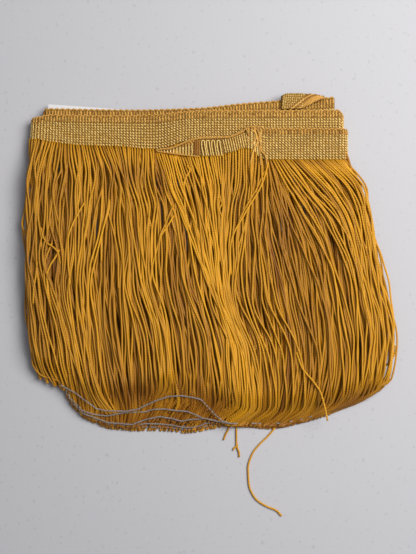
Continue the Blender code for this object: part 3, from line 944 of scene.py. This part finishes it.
def speckled_material(name, face, dark, scale, spread, rough, strength, depth, **constants):
    """Pale face with fine specks: its darkest share, the specks' scale, and its roughness and relief."""
    material, tree, shader = new_material(name)
    if tree is None:
        return material
    grain = use_group(tree, "Fine speckle", Scale=scale)["Grain"]
    colour = mix(tree, grain, darker(face, dark), face)
    set_shader(tree, shader, colour, scaled(tree, grain, spread, rough), grain, strength, depth, **constants)
    return material


def board_material():
    """White board with short fibres in its face."""
    return speckled_material(
        "White board", colours().board, dark=0.86, scale=900.0, spread=0.15, rough=0.55, strength=0.15,
        depth=0.1 * MM, Specular_IOR_Level=0.35,
    )


def floor_material():
    """Pale, faintly speckled floor."""
    return speckled_material(
        "Pale floor", colours().floor, dark=0.88, scale=420.0, spread=0.1, rough=0.6, strength=0.08,
        depth=0.2 * MM, Specular_IOR_Level=0.3,
    )


def run_column(run, name):
    """One column of a run's table, in metres."""
    return np.array([row[RUN_COLUMNS.index(name)] for row in RUNS[run][1]]) * MM


def run_values(run, name, x):
    return through(run_column(run, "x"), run_column(run, name), x)


def winding():
    """The band's middle line from its inner end, as columns: x, z, facing in x and z, top and lower edge.

    Before it comes the distance along it of each point, and after it the distances where its runs start."""
    parts = []
    for i, (level, rows) in enumerate(RUNS):
        first, last = rows[0][0] * MM, rows[-1][0] * MM
        x = np.linspace(first, last, round(abs(last - first) / BAND_STEP) + 1)
        facing = 1.0 if i % 2 == 0 else -1.0
        z = level + run_values(i, "lift", x)
        flat = np.zeros_like(x)
        edges = [run_values(i, name, x) for name in ("top", "lower")]
        parts.append(np.column_stack((x, z, flat, flat + facing, *edges)))
        if i + 1 == len(RUNS):
            break
        next_level = RUNS[i + 1][0]
        share = np.linspace(0.0, 1.0, TURN_STEPS + 1)[1:-1]
        out = np.sin(math.pi * share) * (1.0 if last > 0 else -1.0)
        radius = (next_level - level) / 2
        up = -np.cos(math.pi * share)
        edges = [
            run_values(i, name, last) * (1 - share) + run_values(i + 1, name, last) * share
            for name in ("top", "lower")
        ]
        edges[0] = edges[0] - TURN_DIPS[i] * np.sin(math.pi * share) ** 2
        x = last + abs(radius) * out
        z = (level + next_level) / 2 + radius * up
        parts.append(np.column_stack((x, z, out, up * (1.0 if radius > 0 else -1.0), *edges)))
    line = np.concatenate(parts)
    reach = np.concatenate(([0.0], np.cumsum(np.linalg.norm(np.diff(line[:, :2], axis=0), axis=1))))
    firsts = np.cumsum([0] + [len(part) for part in parts])[:-1:2]
    return reach, line, tuple(reach[firsts])


def band_points(reach, line, distance, share, lift):
    """Places on the band: distance along it, share of its height from below, and lift off its middle."""
    x, z, face_x, face_z, top, lower = (np.interp(distance, reach, column) for column in line.T)
    y = lower + (top - lower) * share
    lean = BAND_LEAN * (y - LEAN_MIDDLE) * np.clip((-x - LEAN_STARTS) / (LEAN_FULL - LEAN_STARTS), 0.0, None)
    return np.stack((x + lean + face_x * lift, y, z + face_z * lift), axis=-1)


def band_cloth(reach, line):
    """The whole wound band as one closed sheet, scalloped along its top."""
    distance = np.linspace(0.0, reach[-1], round(reach[-1] / BAND_STEP) + 1)[:, None]
    share, lift = sheet_section(CLOTH_STEPS, CLOTH_THICK / 2)
    scallop = -SCALLOP_DEPTH / BAND_WIDTH * np.cos(math.tau * distance / SCALLOP_PITCH)
    shares = share + np.where(share == 1.0, 1.0, 0.0) * scallop
    points = band_points(reach, line, distance + 0 * shares, shares, lift + 0 * shares)
    return place_piece(sheet_object("heading_band", points), band_cloth_material(), ("heading",))


def bar_columns(reach, line, starts, yarn):
    """The band's stitches of one yarn: distance along it, share of its height, slant, length and radius."""
    columns = []
    x_at = line[:, 0]
    for rows, first, last in zip(ROW_SETS, starts, (*starts[1:], reach[-1])):
        pitch = OUTER_PITCH if rows is OUTER_ROWS else STITCH_PITCH
        places = np.arange(first + pitch / 2, last, pitch)
        x = np.interp(places, reach, x_at)
        shown = places[(x < TWIST_SPAN[0]) | (x > TWIST_SPAN[1]) | (places < starts[-1])]
        for cell in named(BAR_COLUMNS, rows):
            if cell["yarn"] == yarn:
                given = [np.full(len(shown), float(cell[name])) for name in BAR_COLUMNS[:-1]]
                columns.append((shown, *given))
    return (np.concatenate(values) for values in zip(*columns))


def band_bars(reach, line, rng, yarn, starts):
    """Rows of slanted stitches of one yarn over the band, as each run's rows say."""
    distance, share, slant, length, radius = bar_columns(reach, line, starts, yarn)
    count = len(distance)
    distance = distance + rng.normal(0, STITCH_DRIFT, count)
    share = share + rng.normal(0, STITCH_RISE_DRIFT, count)
    slant = np.radians(slant) + rng.normal(0, STITCH_TURN_DRIFT, count)
    top, lower = line.T[-2:]
    height = np.interp(distance, reach, top - lower)
    reached = np.minimum(1.0, height / BAND_WIDTH * SHORT_BAND_REACH)
    length = length * MM * reached * rng.uniform(*STITCH_LENGTHS, count)
    lift = CLOTH_THICK / 2 + STITCH_LIFT + STITCH_LIFT_SPREAD * rng.random(count)
    paths = band_points(
        reach, line,
        distance[:, None] + BAR_ALONG * (length * np.sin(slant))[:, None],
        share[:, None] + BAR_ALONG * (length * np.cos(slant) / height)[:, None],
        lift[:, None] - np.abs(BAR_ALONG) * BAR_SINK,
    )
    radii = (radius * MM * rng.uniform(*STITCH_SWELLS, count))[:, None] * BAR_SWELL
    tones = np.clip(rng.normal(*STITCH_TONES, count), 0, 1)
    finish = metal_yarn_material() if yarn == "metal" else cord_material()
    bars = tube_object("heading_" + yarn + "_stitches", paths, radii, BAR_SIDES, tones)
    return place_piece(bars, finish)


def band_edge(reach, line):
    """Corded edge in scallops along the top of the band."""
    distance = np.arange(EDGE_INSET, reach[-1] - EDGE_INSET, SCALLOP_PITCH / EDGE_STEPS)
    arch = np.abs(np.sin(math.pi * distance / SCALLOP_PITCH))
    top = 1.0 + SCALLOP_DEPTH / BAND_WIDTH * EDGE_RISE * arch
    wave = EDGE_WAVE * np.sin(math.tau * distance / STITCH_PITCH)
    path = band_points(reach, line, distance, top - EDGE_SINK, wave)[None]
    swell = 1 + EDGE_SWELL * np.cos(math.tau * distance / STITCH_PITCH)
    radii = EDGE_RADIUS * swell
    edge = tube_object("heading_top_edge", path, radii, CORD_SIDES, EDGE_TONE, reference=UPRIGHT)
    return place_piece(edge, cord_material())


def thread_piece(name, routes, rise, radius, tones, finish):
    """Threads of the heading along these routes in pixels, all with the same rise along them."""
    paths = [np.column_stack((smooth_route(from_pixels(route), len(rise)), rise)) for route in routes]
    return place_piece(tube_object(name, paths, radius, CORD_SIDES, tones), finish)


def rolled_edge(rng):
    """Twisted cord along the two arms of the band's rolled edge."""
    paths = []
    tones = []
    shares = np.linspace(0, 1, ROLL_STEPS)
    for roll in named(ROLL_COLUMNS, ROLLS):
        route = smooth_route(from_pixels(roll["route"]), ROLL_STEPS)
        z = through((0.0, 0.5, 1.0), roll["heights"], shares)
        side = unit(np.gradient(route, axis=0))[:, ::-1] * np.array([-1.0, 1.0])
        for strand in range(ROLL_STRANDS):
            turn = math.tau * np.linspace(0, ROLL_TWISTS, ROLL_STEPS) + strand * math.pi
            moved = route + side * (roll["turn"] * np.sin(turn))[:, None]
            paths.append(np.column_stack((moved, z + roll["turn"] * np.cos(turn))))
            tones.append(rng.uniform(*ROLL_TONES))
    rolled = tube_object("heading_rolled_edge", paths, ROLL_RADIUS, CORD_SIDES, tones)
    return place_piece(rolled, cord_material())


def hairpin_route(x):
    """One hairpin in pixels: up its first leg, round its bend and down its second leg."""
    half = HAIRPIN_WIDTH / 2
    knee = HAIRPIN_TOP + HAIRPIN_LEG * half
    bend = [(x - half * math.cos(turn), HAIRPIN_TOP + half * (1 - math.sin(turn))) for turn in HAIRPIN_BEND]
    feet = [(side + HAIRPIN_LEAN, HAIRPIN_LOWER) for side in (x - half, x + half)]
    return [feet[0], (x - half, knee), *bend, (x + half, knee), feet[1]]


def fan_stitches(rng):
    """Stitches fanned out over the twisted end, in lines of beads."""
    starts = smooth_route(from_pixels(FAN_TOP), FAN_STITCHES)
    ends = smooth_route(from_pixels(FAN_LOWER), FAN_STITCHES)
    down = (np.arange(FAN_BEADS) + 0.5) / FAN_BEADS
    middles = (starts[:, None] + (ends - starts)[:, None] * down[:, None]).reshape(-1, 2)
    steps = np.repeat((ends - starts) / FAN_BEADS, FAN_BEADS, axis=0)
    flat = middles[:, None] + steps[:, None] * BAR_ALONG[:, None]
    rise = FAN_HEIGHT - np.abs(BAR_ALONG) * BAR_SINK + 0 * flat[..., 0]
    paths = np.concatenate((flat, rise[..., None]), axis=-1)
    tones = np.clip(rng.normal(*FAN_TONES, len(flat)), 0, 1)
    beads = tube_object("heading_fan_stitches", paths, FAN_RADIUS * BAR_SWELL, BAR_SIDES, tones)
    return place_piece(beads, metal_yarn_material())


def twisted_end(rng):
    """Rolled edge, gathered threads and hairpins where the band's outer end is twisted and tucked in."""
    pucker_rise = PUCKER_HEIGHT + PUCKER_RISE * np.sin(np.linspace(0, math.pi, PUCKER_STEPS))
    hairpin_rise = HAIRPIN_HEIGHT + HAIRPIN_RISE * np.sin(np.linspace(0, math.tau, HAIRPIN_STEPS)) ** 2
    crease_rise = np.full(CREASE_STEPS, CREASE_HEIGHT)
    # Painted shade: the crease's cords are dark, for the shade in the fold.
    crease_shade_tones = np.linspace(*CREASE_SHADE_TONES, len(CREASE))
    pins = [hairpin_route(x) for x in HAIRPINS]
    cord = cord_material()
    metal = metal_yarn_material()
    rolled = rolled_edge(rng)
    tones = rng.uniform(*PUCKER_TONES, len(PUCKER))
    pucker = thread_piece("heading_pucker", PUCKER, pucker_rise, PUCKER_RADIUS, tones, cord)
    crease = thread_piece("heading_crease", CREASE, crease_rise, CREASE_RADIUS, crease_shade_tones, cord)
    tones = rng.uniform(*HAIRPIN_TONES, len(pins))
    hairpins = thread_piece("heading_hairpins", pins, hairpin_rise, HAIRPIN_RADIUS, tones, metal)
    return [rolled, pucker, crease, hairpins, fan_stitches(rng)]


def fold_points(x, turn, lift):
    """Places on the folded end: x along it, turn from its front edge over the top to its back, and lift."""
    rows = np.array(FOLD) * MM
    top, lower = (through(rows[:, 0], rows[:, i], x.ravel()).reshape(x.shape) for i in (1, 2))
    middle = (FOLD_FRONT + FOLD_BACK + FOLD_THICK) / 2
    radius = (FOLD_FRONT - FOLD_BACK) / 2 + FOLD_THICK / 4
    legs = (FOLD_FRONT_LEG, FOLD_OVER, FOLD_BACK_LEG)
    front, over, back = (np.clip((turn - start) / length, 0.0, 1.0) for start, length in legs)
    over = over * math.pi
    spring = top - radius * FOLD_ROUND
    y = lower + (spring - lower) * front + np.sin(over) * (radius * FOLD_ROUND + lift) - back * FOLD_BACK_DROP
    z = middle + np.cos(over) * (radius + lift)
    return np.stack((x + 0 * y, y, z), axis=-1)


def folded_tab(rng):
    """The band's starting end, turned over the top edge, with its metal grid and its drawn yarns."""
    first, last = FOLD[0][0] * MM, FOLD[-1][0] * MM
    x = np.linspace(first, last, round((last - first) / FOLD_STEP) + 1)[:, None]
    half = FOLD_THICK / 2 * FOLD_CLOTH_SHARE
    section, lift = sheet_section(FOLD_STEPS, half)
    tab = sheet_object("folded_tab", fold_points(x, section + 0 * x, lift + 0 * x))
    place_piece(tab, band_cloth_material(), ("folded_end",))
    columns = np.arange(first + GRID_INSET, first + GRID_SHARE * (last - first), GRID_PITCH)
    rows = np.linspace(*GRID_ROWS)
    across, turn = (part.ravel()[:, None] for part in np.meshgrid(columns, rows))
    across = across + GRID_SKEW * (turn - rows[0])
    bars = fold_points(
        across + BAR_ALONG * GRID_LENGTH, turn + BAR_ALONG * GRID_SLANT, half + GRID_LIFT + 0 * BAR_ALONG
    )
    tones = np.clip(rng.normal(*GRID_TONES, len(across)), 0, 1)
    grid = tube_object("folded_tab_bars", bars, GRID_RADIUS * BAR_SWELL, BAR_SIDES, tones)
    place_piece(grid, metal_yarn_material())
    starts = np.arange(first + DRAWN_START * (last - first), last - DRAWN_INSET, DRAWN_PITCH)[:, None]
    turn = np.linspace(0.0, DRAWN_REACH, DRAWN_STEPS)
    slant = np.linspace(0.0, DRAWN_SKEW, DRAWN_STEPS) * MM
    across = np.clip(starts + slant, first, last - DRAWN_LIMIT)
    yarns = fold_points(across, turn + 0 * starts, half + DRAWN_LIFT)
    yarn = tube_object("folded_tab_yarns", yarns, DRAWN_RADIUS, BAR_SIDES, rng.uniform(0.0, 1.0, len(starts)))
    place_piece(yarn, cord_material())
    return tab, [grid, yarn]


def flow_tracks(layer, places):
    """Where the strands at these shares of a layer's width cross each station. The top layer's strands are
    evenly far apart at the band, and the others' halfway down."""
    is_top = layer["name"] == TOP_LAYER
    table = np.array(FLOW_TOP if is_top else FLOW_UNDER, float)
    if layer["run"] != OUTER_RUN:
        table[:, -1] = DEEP_TIPS
    across = across_pixels(table)
    even = across[:, FLOW_STATIONS.index(0.0 if is_top else 0.5)]
    shares = (even - even[0]) / (even[-1] - even[0])
    return through(shares, across, places).T * layer["share"]


def wavy(rng, places, lengths, waves, copies):
    """Sum of seeded waves over the fringe's width and length."""
    total = np.zeros((len(places), len(lengths)))
    for size, across, along in waves:
        for _ in range(copies):
            wide = across * rng.uniform(*CLUMP_RATES) * places[:, None]
            turns = wide + along * rng.uniform(-1, 1) * lengths
            total += size * MM / math.sqrt(copies) * np.sin(math.tau * (turns + rng.random()))
    return total


def own_waves(rng, count, lengths, waves):
    """Waves of each strand by itself, along its length."""
    total = np.zeros((count, len(lengths)))
    for size, along in waves:
        phase = rng.random((count, 1))
        rate = along * rng.uniform(*WANDER_RATES, (count, 1))
        wide = size * MM * rng.uniform(*WANDER_SIZES, (count, 1))
        total += wide * np.sin(math.tau * (rate * lengths + phase))
    return total


def part_strands(x, y, share):
    """The strands' x, moved aside round the partings. A strand stays on one side of a parting."""
    moved = x.copy()
    strands = np.arange(len(x))
    for cell in named(PARTING_COLUMNS, PARTINGS):
        middle = from_pixels((cell["x"], cell["y"]))
        below = middle[1] - y
        level = np.abs(below).argmin(axis=1)
        side = np.where(x[strands, level] < middle[0], -1.0, 1.0)[:, None]
        away = np.clip(side * (moved - middle[0] - cell["lean"] * below), 0, None)
        width = cell["width"] * PIXEL
        opened = np.clip(1 - (below / (cell["height"] * PIXEL)) ** 2, 0, None) ** 2
        near = np.clip(1 - away / (width * PARTING_REACH), 0, None)
        moved += side * width * PARTING_PUSH * opened * near * share
    return moved


def root_line(layer, x):
    """Lower edge and height of the run of the band that this layer's strands hang from."""
    edge, level = np.empty_like(x), np.empty_like(x)
    outer_end = RUNS[OUTER_RUN][1][-1][0] * MM - OUTER_REACH
    past_end = {OUTER_RUN: MIDDLE_RUN, MIDDLE_RUN: INNER_RUN}.get(layer["run"], layer["run"])
    for run in range(len(RUNS)):
        here = np.where(x > outer_end, layer["run"], past_end) == run
        edge[here] = run_values(run, "lower", x[here])
        level[here] = RUNS[run][0] + run_values(run, "lift", x[here])
    return edge, level


def strand_heights(layer, rng, places, lengths, level, tips):
    """Heights of a layer's legs along their length."""
    legs = len(places)
    heights = [np.full(legs, height * MM) for height in layer["heights"]]
    heights = np.array([level - layer["tuck"] * MM, *heights])
    first, full = across_pixels((CURLED_FROM, CURLED_FULL))
    curled = np.clip((tips - first) / (full - first), 0, 1)
    heights *= 1 - curled * (1 - np.array(CURLED_HEIGHTS))[:, None]
    z = through(HEIGHT_STATIONS, heights, lengths).T
    grown = np.clip(lengths / RISE_SHARE, 0, 1)
    z += own_waves(rng, legs, lengths, RISES) * grown
    z += rng.uniform(-1, 1, (legs, 1)) * RISE_SPREAD * grown
    if layer["run"] == OUTER_RUN:
        past = np.clip(1 - np.minimum(places, 1 - places) / SHOULDER, 0, 1)
        sloped = np.clip(lengths / SHOULDER_REACH, 0, 1)
        low = ROOT_SHOULDER_HEIGHT + (SHOULDER_HEIGHT - ROOT_SHOULDER_HEIGHT) * sloped
        z -= (z - low) * (1 - np.sqrt(1 - past**2))[:, None]
    return np.maximum(z, sizes().strand_width * sizes().strand_flatness / 2)


def strand_layer(layer, rng):
    """Paths of one layer's strands, from the band to just past the hem."""
    legs = 2 * layer["loops"]
    places = (np.arange(legs) + 0.5 + rng.uniform(-PLACE_DRIFT, PLACE_DRIFT, legs)) / legs
    lengths = np.linspace(0.0, 1.0, LEG_STEPS)
    tracks = flow_tracks(layer, places)
    x = through(FLOW_STATIONS, tracks, lengths).T
    settle = np.clip(lengths / SETTLE_SHARE, 0, 1) ** SETTLE_POWER * (1 - HEM_HOLD * lengths**3)
    x += wavy(rng, places, lengths, CLUMPS, CLUMP_COPIES) * settle
    x += own_waves(rng, legs, lengths, WANDERS) * settle
    edge, level = root_line(layer, tracks[0])
    hem = from_pixels(HEM_LINES[layer["hem"]])
    tip = np.interp(x[:, -1], hem[:, 0], hem[:, 1]) - HEM_OVERHANG
    start = edge + ROOT_TUCK
    y = start[:, None] + (tip - start)[:, None] * lengths
    x = part_strands(x, y, layer["parting"])
    z = strand_heights(layer, rng, places, lengths, level, tracks[-1])
    return np.stack((x, y, z), axis=-1)


def shade_at(points):
    """How deep in shade these places of the fringe are."""
    shade = np.zeros(points.shape[:-1])
    for cell in named(SHADE_COLUMNS, SHADES):
        spread = np.array([cell["width"], cell["height"]]) * PIXEL
        offset = (points[..., :2] - from_pixels((cell["x"], cell["y"]))) / spread
        shade = np.maximum(shade, cell["depth"] * np.exp(-(offset**2).sum(axis=-1)))
    return shade


def looped(legs):
    """Pairs of legs joined into loops by a half turn, their ends drawn together."""
    left, right = legs[0::2].copy(), legs[1::2].copy()
    crossed = left[:, -1, 0] > right[:, -1, 0]
    left[crossed], right[crossed] = right[crossed].copy(), left[crossed].copy()
    apart = (right[:, -1, 0] - left[:, -1, 0]) / 2
    late = np.linspace(0, 1, LEG_STEPS) ** LOOP_HOLD
    drawn = np.clip(apart - LOOP_HALF_WIDTH, 0, None)[:, None] * late
    left[..., 0] += drawn
    right[..., 0] -= drawn
    middle = (left[:, -1] + right[:, -1]) / 2
    half = (right[:, -1] - left[:, -1]) / 2
    angles = math.pi * np.arange(1, TURN_POINTS + 1)[:, None] / (TURN_POINTS + 1)
    drop = np.zeros_like(half)
    drop[:, 1] = -np.clip(np.abs(half[:, 0]), *LOOP_DROPS)
    turn = middle[:, None] - half[:, None] * np.cos(angles) + drop[:, None] * np.sin(angles)
    return np.concatenate((left, turn, right[:, ::-1]), axis=1)


def fringe_layer(layer, order):
    """One layer of the fringe as a piece. Gives the paths of its legs."""
    rng = np.random.default_rng(SEED + order)
    legs = strand_layer(layer, rng)
    paths = looped(legs)
    # Painted shade: the layers under the top one get darker tones, as they lie under the ones over them.
    tones = np.clip(rng.normal(layer["tone"], TONE_SPREAD, len(paths)), 0, 1)
    # Painted shade: the tones are darkened in the fringe's hollows, as the shade table gives.
    tones = tones[:, None] * (1 - shade_at(paths))
    radius = sizes().strand_width / 2 * layer["width"]
    obj = tube_object(layer["name"], paths, radius, sizes().strand_sides, tones, sizes().strand_flatness)
    place_piece(obj, chainette_material(), (layer["node"],))
    return legs


def hem_chain(layer, order, legs):
    """Chain stitching across one layer's strands: slanted links that follow the strands' ends."""
    hem = from_pixels(HEM_LINES[layer["hem"]])
    ends = legs[:, HEM_STEP]
    ends = ends[np.argsort(ends[:, 0])]
    across = ends[:, 0]
    x = np.arange(across[0], across[-1], HEM_PITCH)
    y = np.interp(x, hem[:, 0], hem[:, 1])
    smooth = np.convolve(ends[:, 2], np.ones(HEM_SMOOTHING) / HEM_SMOOTHING, mode="same")
    z = np.clip(np.interp(x, across, smooth), 0.0, None) + HEM_LIFT
    z[:HEM_LEVEL_ENDS] = z[HEM_LEVEL_ENDS]
    z[-HEM_LEVEL_ENDS:] = z[-HEM_LEVEL_ENDS - 1]
    middle = np.column_stack((x, y, z))
    along = unit(np.gradient(middle, axis=0))
    rng = np.random.default_rng(HEM_SEED + order)
    first, last = across_pixels(HEM_SPAN)
    shown = (x > first) & ((x < last) | (rng.random(len(x)) < HEM_STRAY_SHARE))
    middle, along = middle[shown], along[shown]
    side = np.column_stack((-along[:, 1], along[:, 0], 0 * along[:, 0]))
    links = middle[:, None] + along[:, None] * (LINK_ALONG * HEM_PITCH)[:, None]
    paths = np.concatenate([
        links + side[:, None] * (sign * LINK_ALONG * HEM_SLANT * HEM_LEAN)[:, None] for sign in (-1, 1)
    ])
    tones = rng.uniform(*HEM_TONES, len(paths))
    obj = tube_object("hem_" + layer["name"], paths, HEM_RADIUS * LINK_SWELL, BAR_SIDES, tones)
    return place_piece(obj, hem_material())


def single_strands(name, paths, seed, tones, nodes=()):
    """Piece of single strands along these paths."""
    tones = np.random.default_rng(seed).uniform(*tones, len(paths))
    obj = tube_object(name, paths, sizes().strand_width / 2, sizes().strand_sides, tones)
    return place_piece(obj, chainette_material(), nodes)


def stray_strands():
    """Single strands that lie across the others or stand off the sides."""
    dip = STRAY_DIP * (1 - np.sin(np.linspace(0, math.pi, STRAY_STEPS)) ** 0.5)
    paths = [
        np.column_stack((smooth_route(from_pixels(route), STRAY_STEPS), height * MM - dip))
        for height, route in STRAYS
    ]
    return single_strands("stray_strands", paths, STRAY_SEED, STRAY_TONES)


def loose_strands():
    """The long strand on the floor and the short ends beside it."""
    routes = [np.array(LOOSE_STRAND) * MM] + [from_pixels(route) for route in LOOSE_ENDS]
    level = np.full(LOOSE_STEPS, LOOSE_HEIGHT)
    paths = [np.column_stack((smooth_route(route, LOOSE_STEPS), level)) for route in routes]
    return single_strands("loose_yarns", paths, LOOSE_SEED, LOOSE_TONES, ("loose_strand",))


def aim(obj, target):
    """Turns a light at a place."""
    obj.rotation_mode = "QUATERNION"
    direction = np.array(target) - np.array(obj.location)
    obj.rotation_quaternion = Vector(direction).to_track_quat("-Z", "Y")


class TRIM_OT_stage(bpy.types.Operator):
    """Floor, lights and camera"""

    bl_idname = "trim.stage"
    bl_label = "Stage"

    def execute(self, context):
        bpy.ops.mesh.primitive_plane_add(size=FLOOR_SIZE)
        floor = context.object
        floor.name = "floor"
        floor.data.materials.append(floor_material())
        for light in named(LIGHT_COLUMNS, LIGHTS):
            lamp = bpy.data.lights.new(light["name"], "AREA")
            lamp.energy = light["power"]
            lamp.size = light["size"]
            lamp.color = light["colour"]
            obj = bpy.data.objects.new(light["name"], lamp)
            context.collection.objects.link(obj)
            obj.location = light["place"]
            aim(obj, light["target"])
        world = bpy.data.worlds.new("Soft studio")
        world.use_nodes = True
        background = world.node_tree.nodes["Background"]
        background.inputs["Color"].default_value = WORLD_COLOUR
        background.inputs["Strength"].default_value = WORLD_STRENGTH
        context.scene.world = world
        context.scene.view_settings.view_transform = "Standard"
        camera = bpy.data.cameras.new("camera")
        camera.sensor_width = SENSOR
        camera.lens = SENSOR * (CAMERA_HEIGHT - CAMERA_PLANE) / (PICTURE[1] * PIXEL)
        camera.clip_start = CAMERA_NEAR
        obj = bpy.data.objects.new("camera", camera)
        context.collection.objects.link(obj)
        middle = from_pixels((PICTURE[0] / 2, PICTURE[1] / 2)) + LAYOUT_SHIFT
        obj.location = (*middle, CAMERA_HEIGHT)
        context.scene.camera = obj
        return {"FINISHED"}


class TRIM_OT_card(bpy.types.Operator):
    """Finish of the card inside the winding"""

    bl_idname = "trim.card"
    bl_label = "Card"

    def execute(self, context):
        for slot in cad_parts["card"].material_slots:
            slot.material = board_material()
        return {"FINISHED"}


class TRIM_OT_heading(bpy.types.Operator):
    """Wound band with its stitches, its folded start and its twisted end"""

    bl_idname = "trim.heading"
    bl_label = "Heading"

    def execute(self, context):
        rng = np.random.default_rng(HEADING_SEED)
        reach, line, starts = winding()
        cloth = band_cloth(reach, line)
        stitches = [band_bars(reach, line, rng, yarn, starts) for yarn in ("metal", "cord")]
        stitches += [band_edge(reach, line), *twisted_end(rng)]
        tab, tab_stitches = folded_tab(rng)
        return {"FINISHED"}


class TRIM_OT_fringe(bpy.types.Operator):
    """Layers of looped strands and the chain stitching of their hems"""

    bl_idname = "trim.fringe"
    bl_label = "Fringe"

    def execute(self, context):
        for order, layer in enumerate(named(LAYER_COLUMNS, LAYERS)):
            legs = fringe_layer(layer, order)
            if layer["name"] != UNSEWN_LAYER:
                hem_chain(layer, order, legs)
        return {"FINISHED"}


class TRIM_OT_strays(bpy.types.Operator):
    """Single strands on and beside the fringe"""

    bl_idname = "trim.strays"
    bl_label = "Single strands"

    def execute(self, context):
        stray_strands()
        loose_strands()
        return {"FINISHED"}


class TRIM_PT_panel(bpy.types.Panel):
    """Pieces of the trim"""

    bl_idname = "TRIM_PT_panel"
    bl_label = "Fringe trim"
    bl_space_type = "VIEW_3D"
    bl_region_type = "UI"
    bl_category = "Trim"

    def draw(self, context):
        layout = self.layout
        for name in TrimSizes.__annotations__:
            layout.prop(context.scene.trim_sizes, name)
        for name in TrimColours.__annotations__:
            layout.prop(context.scene.trim_colours, name)
        for operator in OPERATORS:
            layout.operator(operator.bl_idname)


OPERATORS = (TRIM_OT_stage, TRIM_OT_card, TRIM_OT_heading, TRIM_OT_fringe, TRIM_OT_strays)
CLASSES = (TrimSizes, TrimColours, *OPERATORS, TRIM_PT_panel)


def register():
    for cls in CLASSES:
        bpy.utils.register_class(cls)
    bpy.types.Scene.trim_sizes = bpy.props.PointerProperty(type=TrimSizes)
    bpy.types.Scene.trim_colours = bpy.props.PointerProperty(type=TrimColours)


def unregister():
    del bpy.types.Scene.trim_sizes
    del bpy.types.Scene.trim_colours
    for cls in reversed(CLASSES):
        bpy.utils.unregister_class(cls)


def main():
    register()
    bpy.ops.trim.stage()
    bpy.ops.trim.card()
    bpy.ops.trim.heading()
    bpy.ops.trim.fringe()
    bpy.ops.trim.strays()
    bpy.context.view_layer.update()


if __name__ == "__main__":
    main()
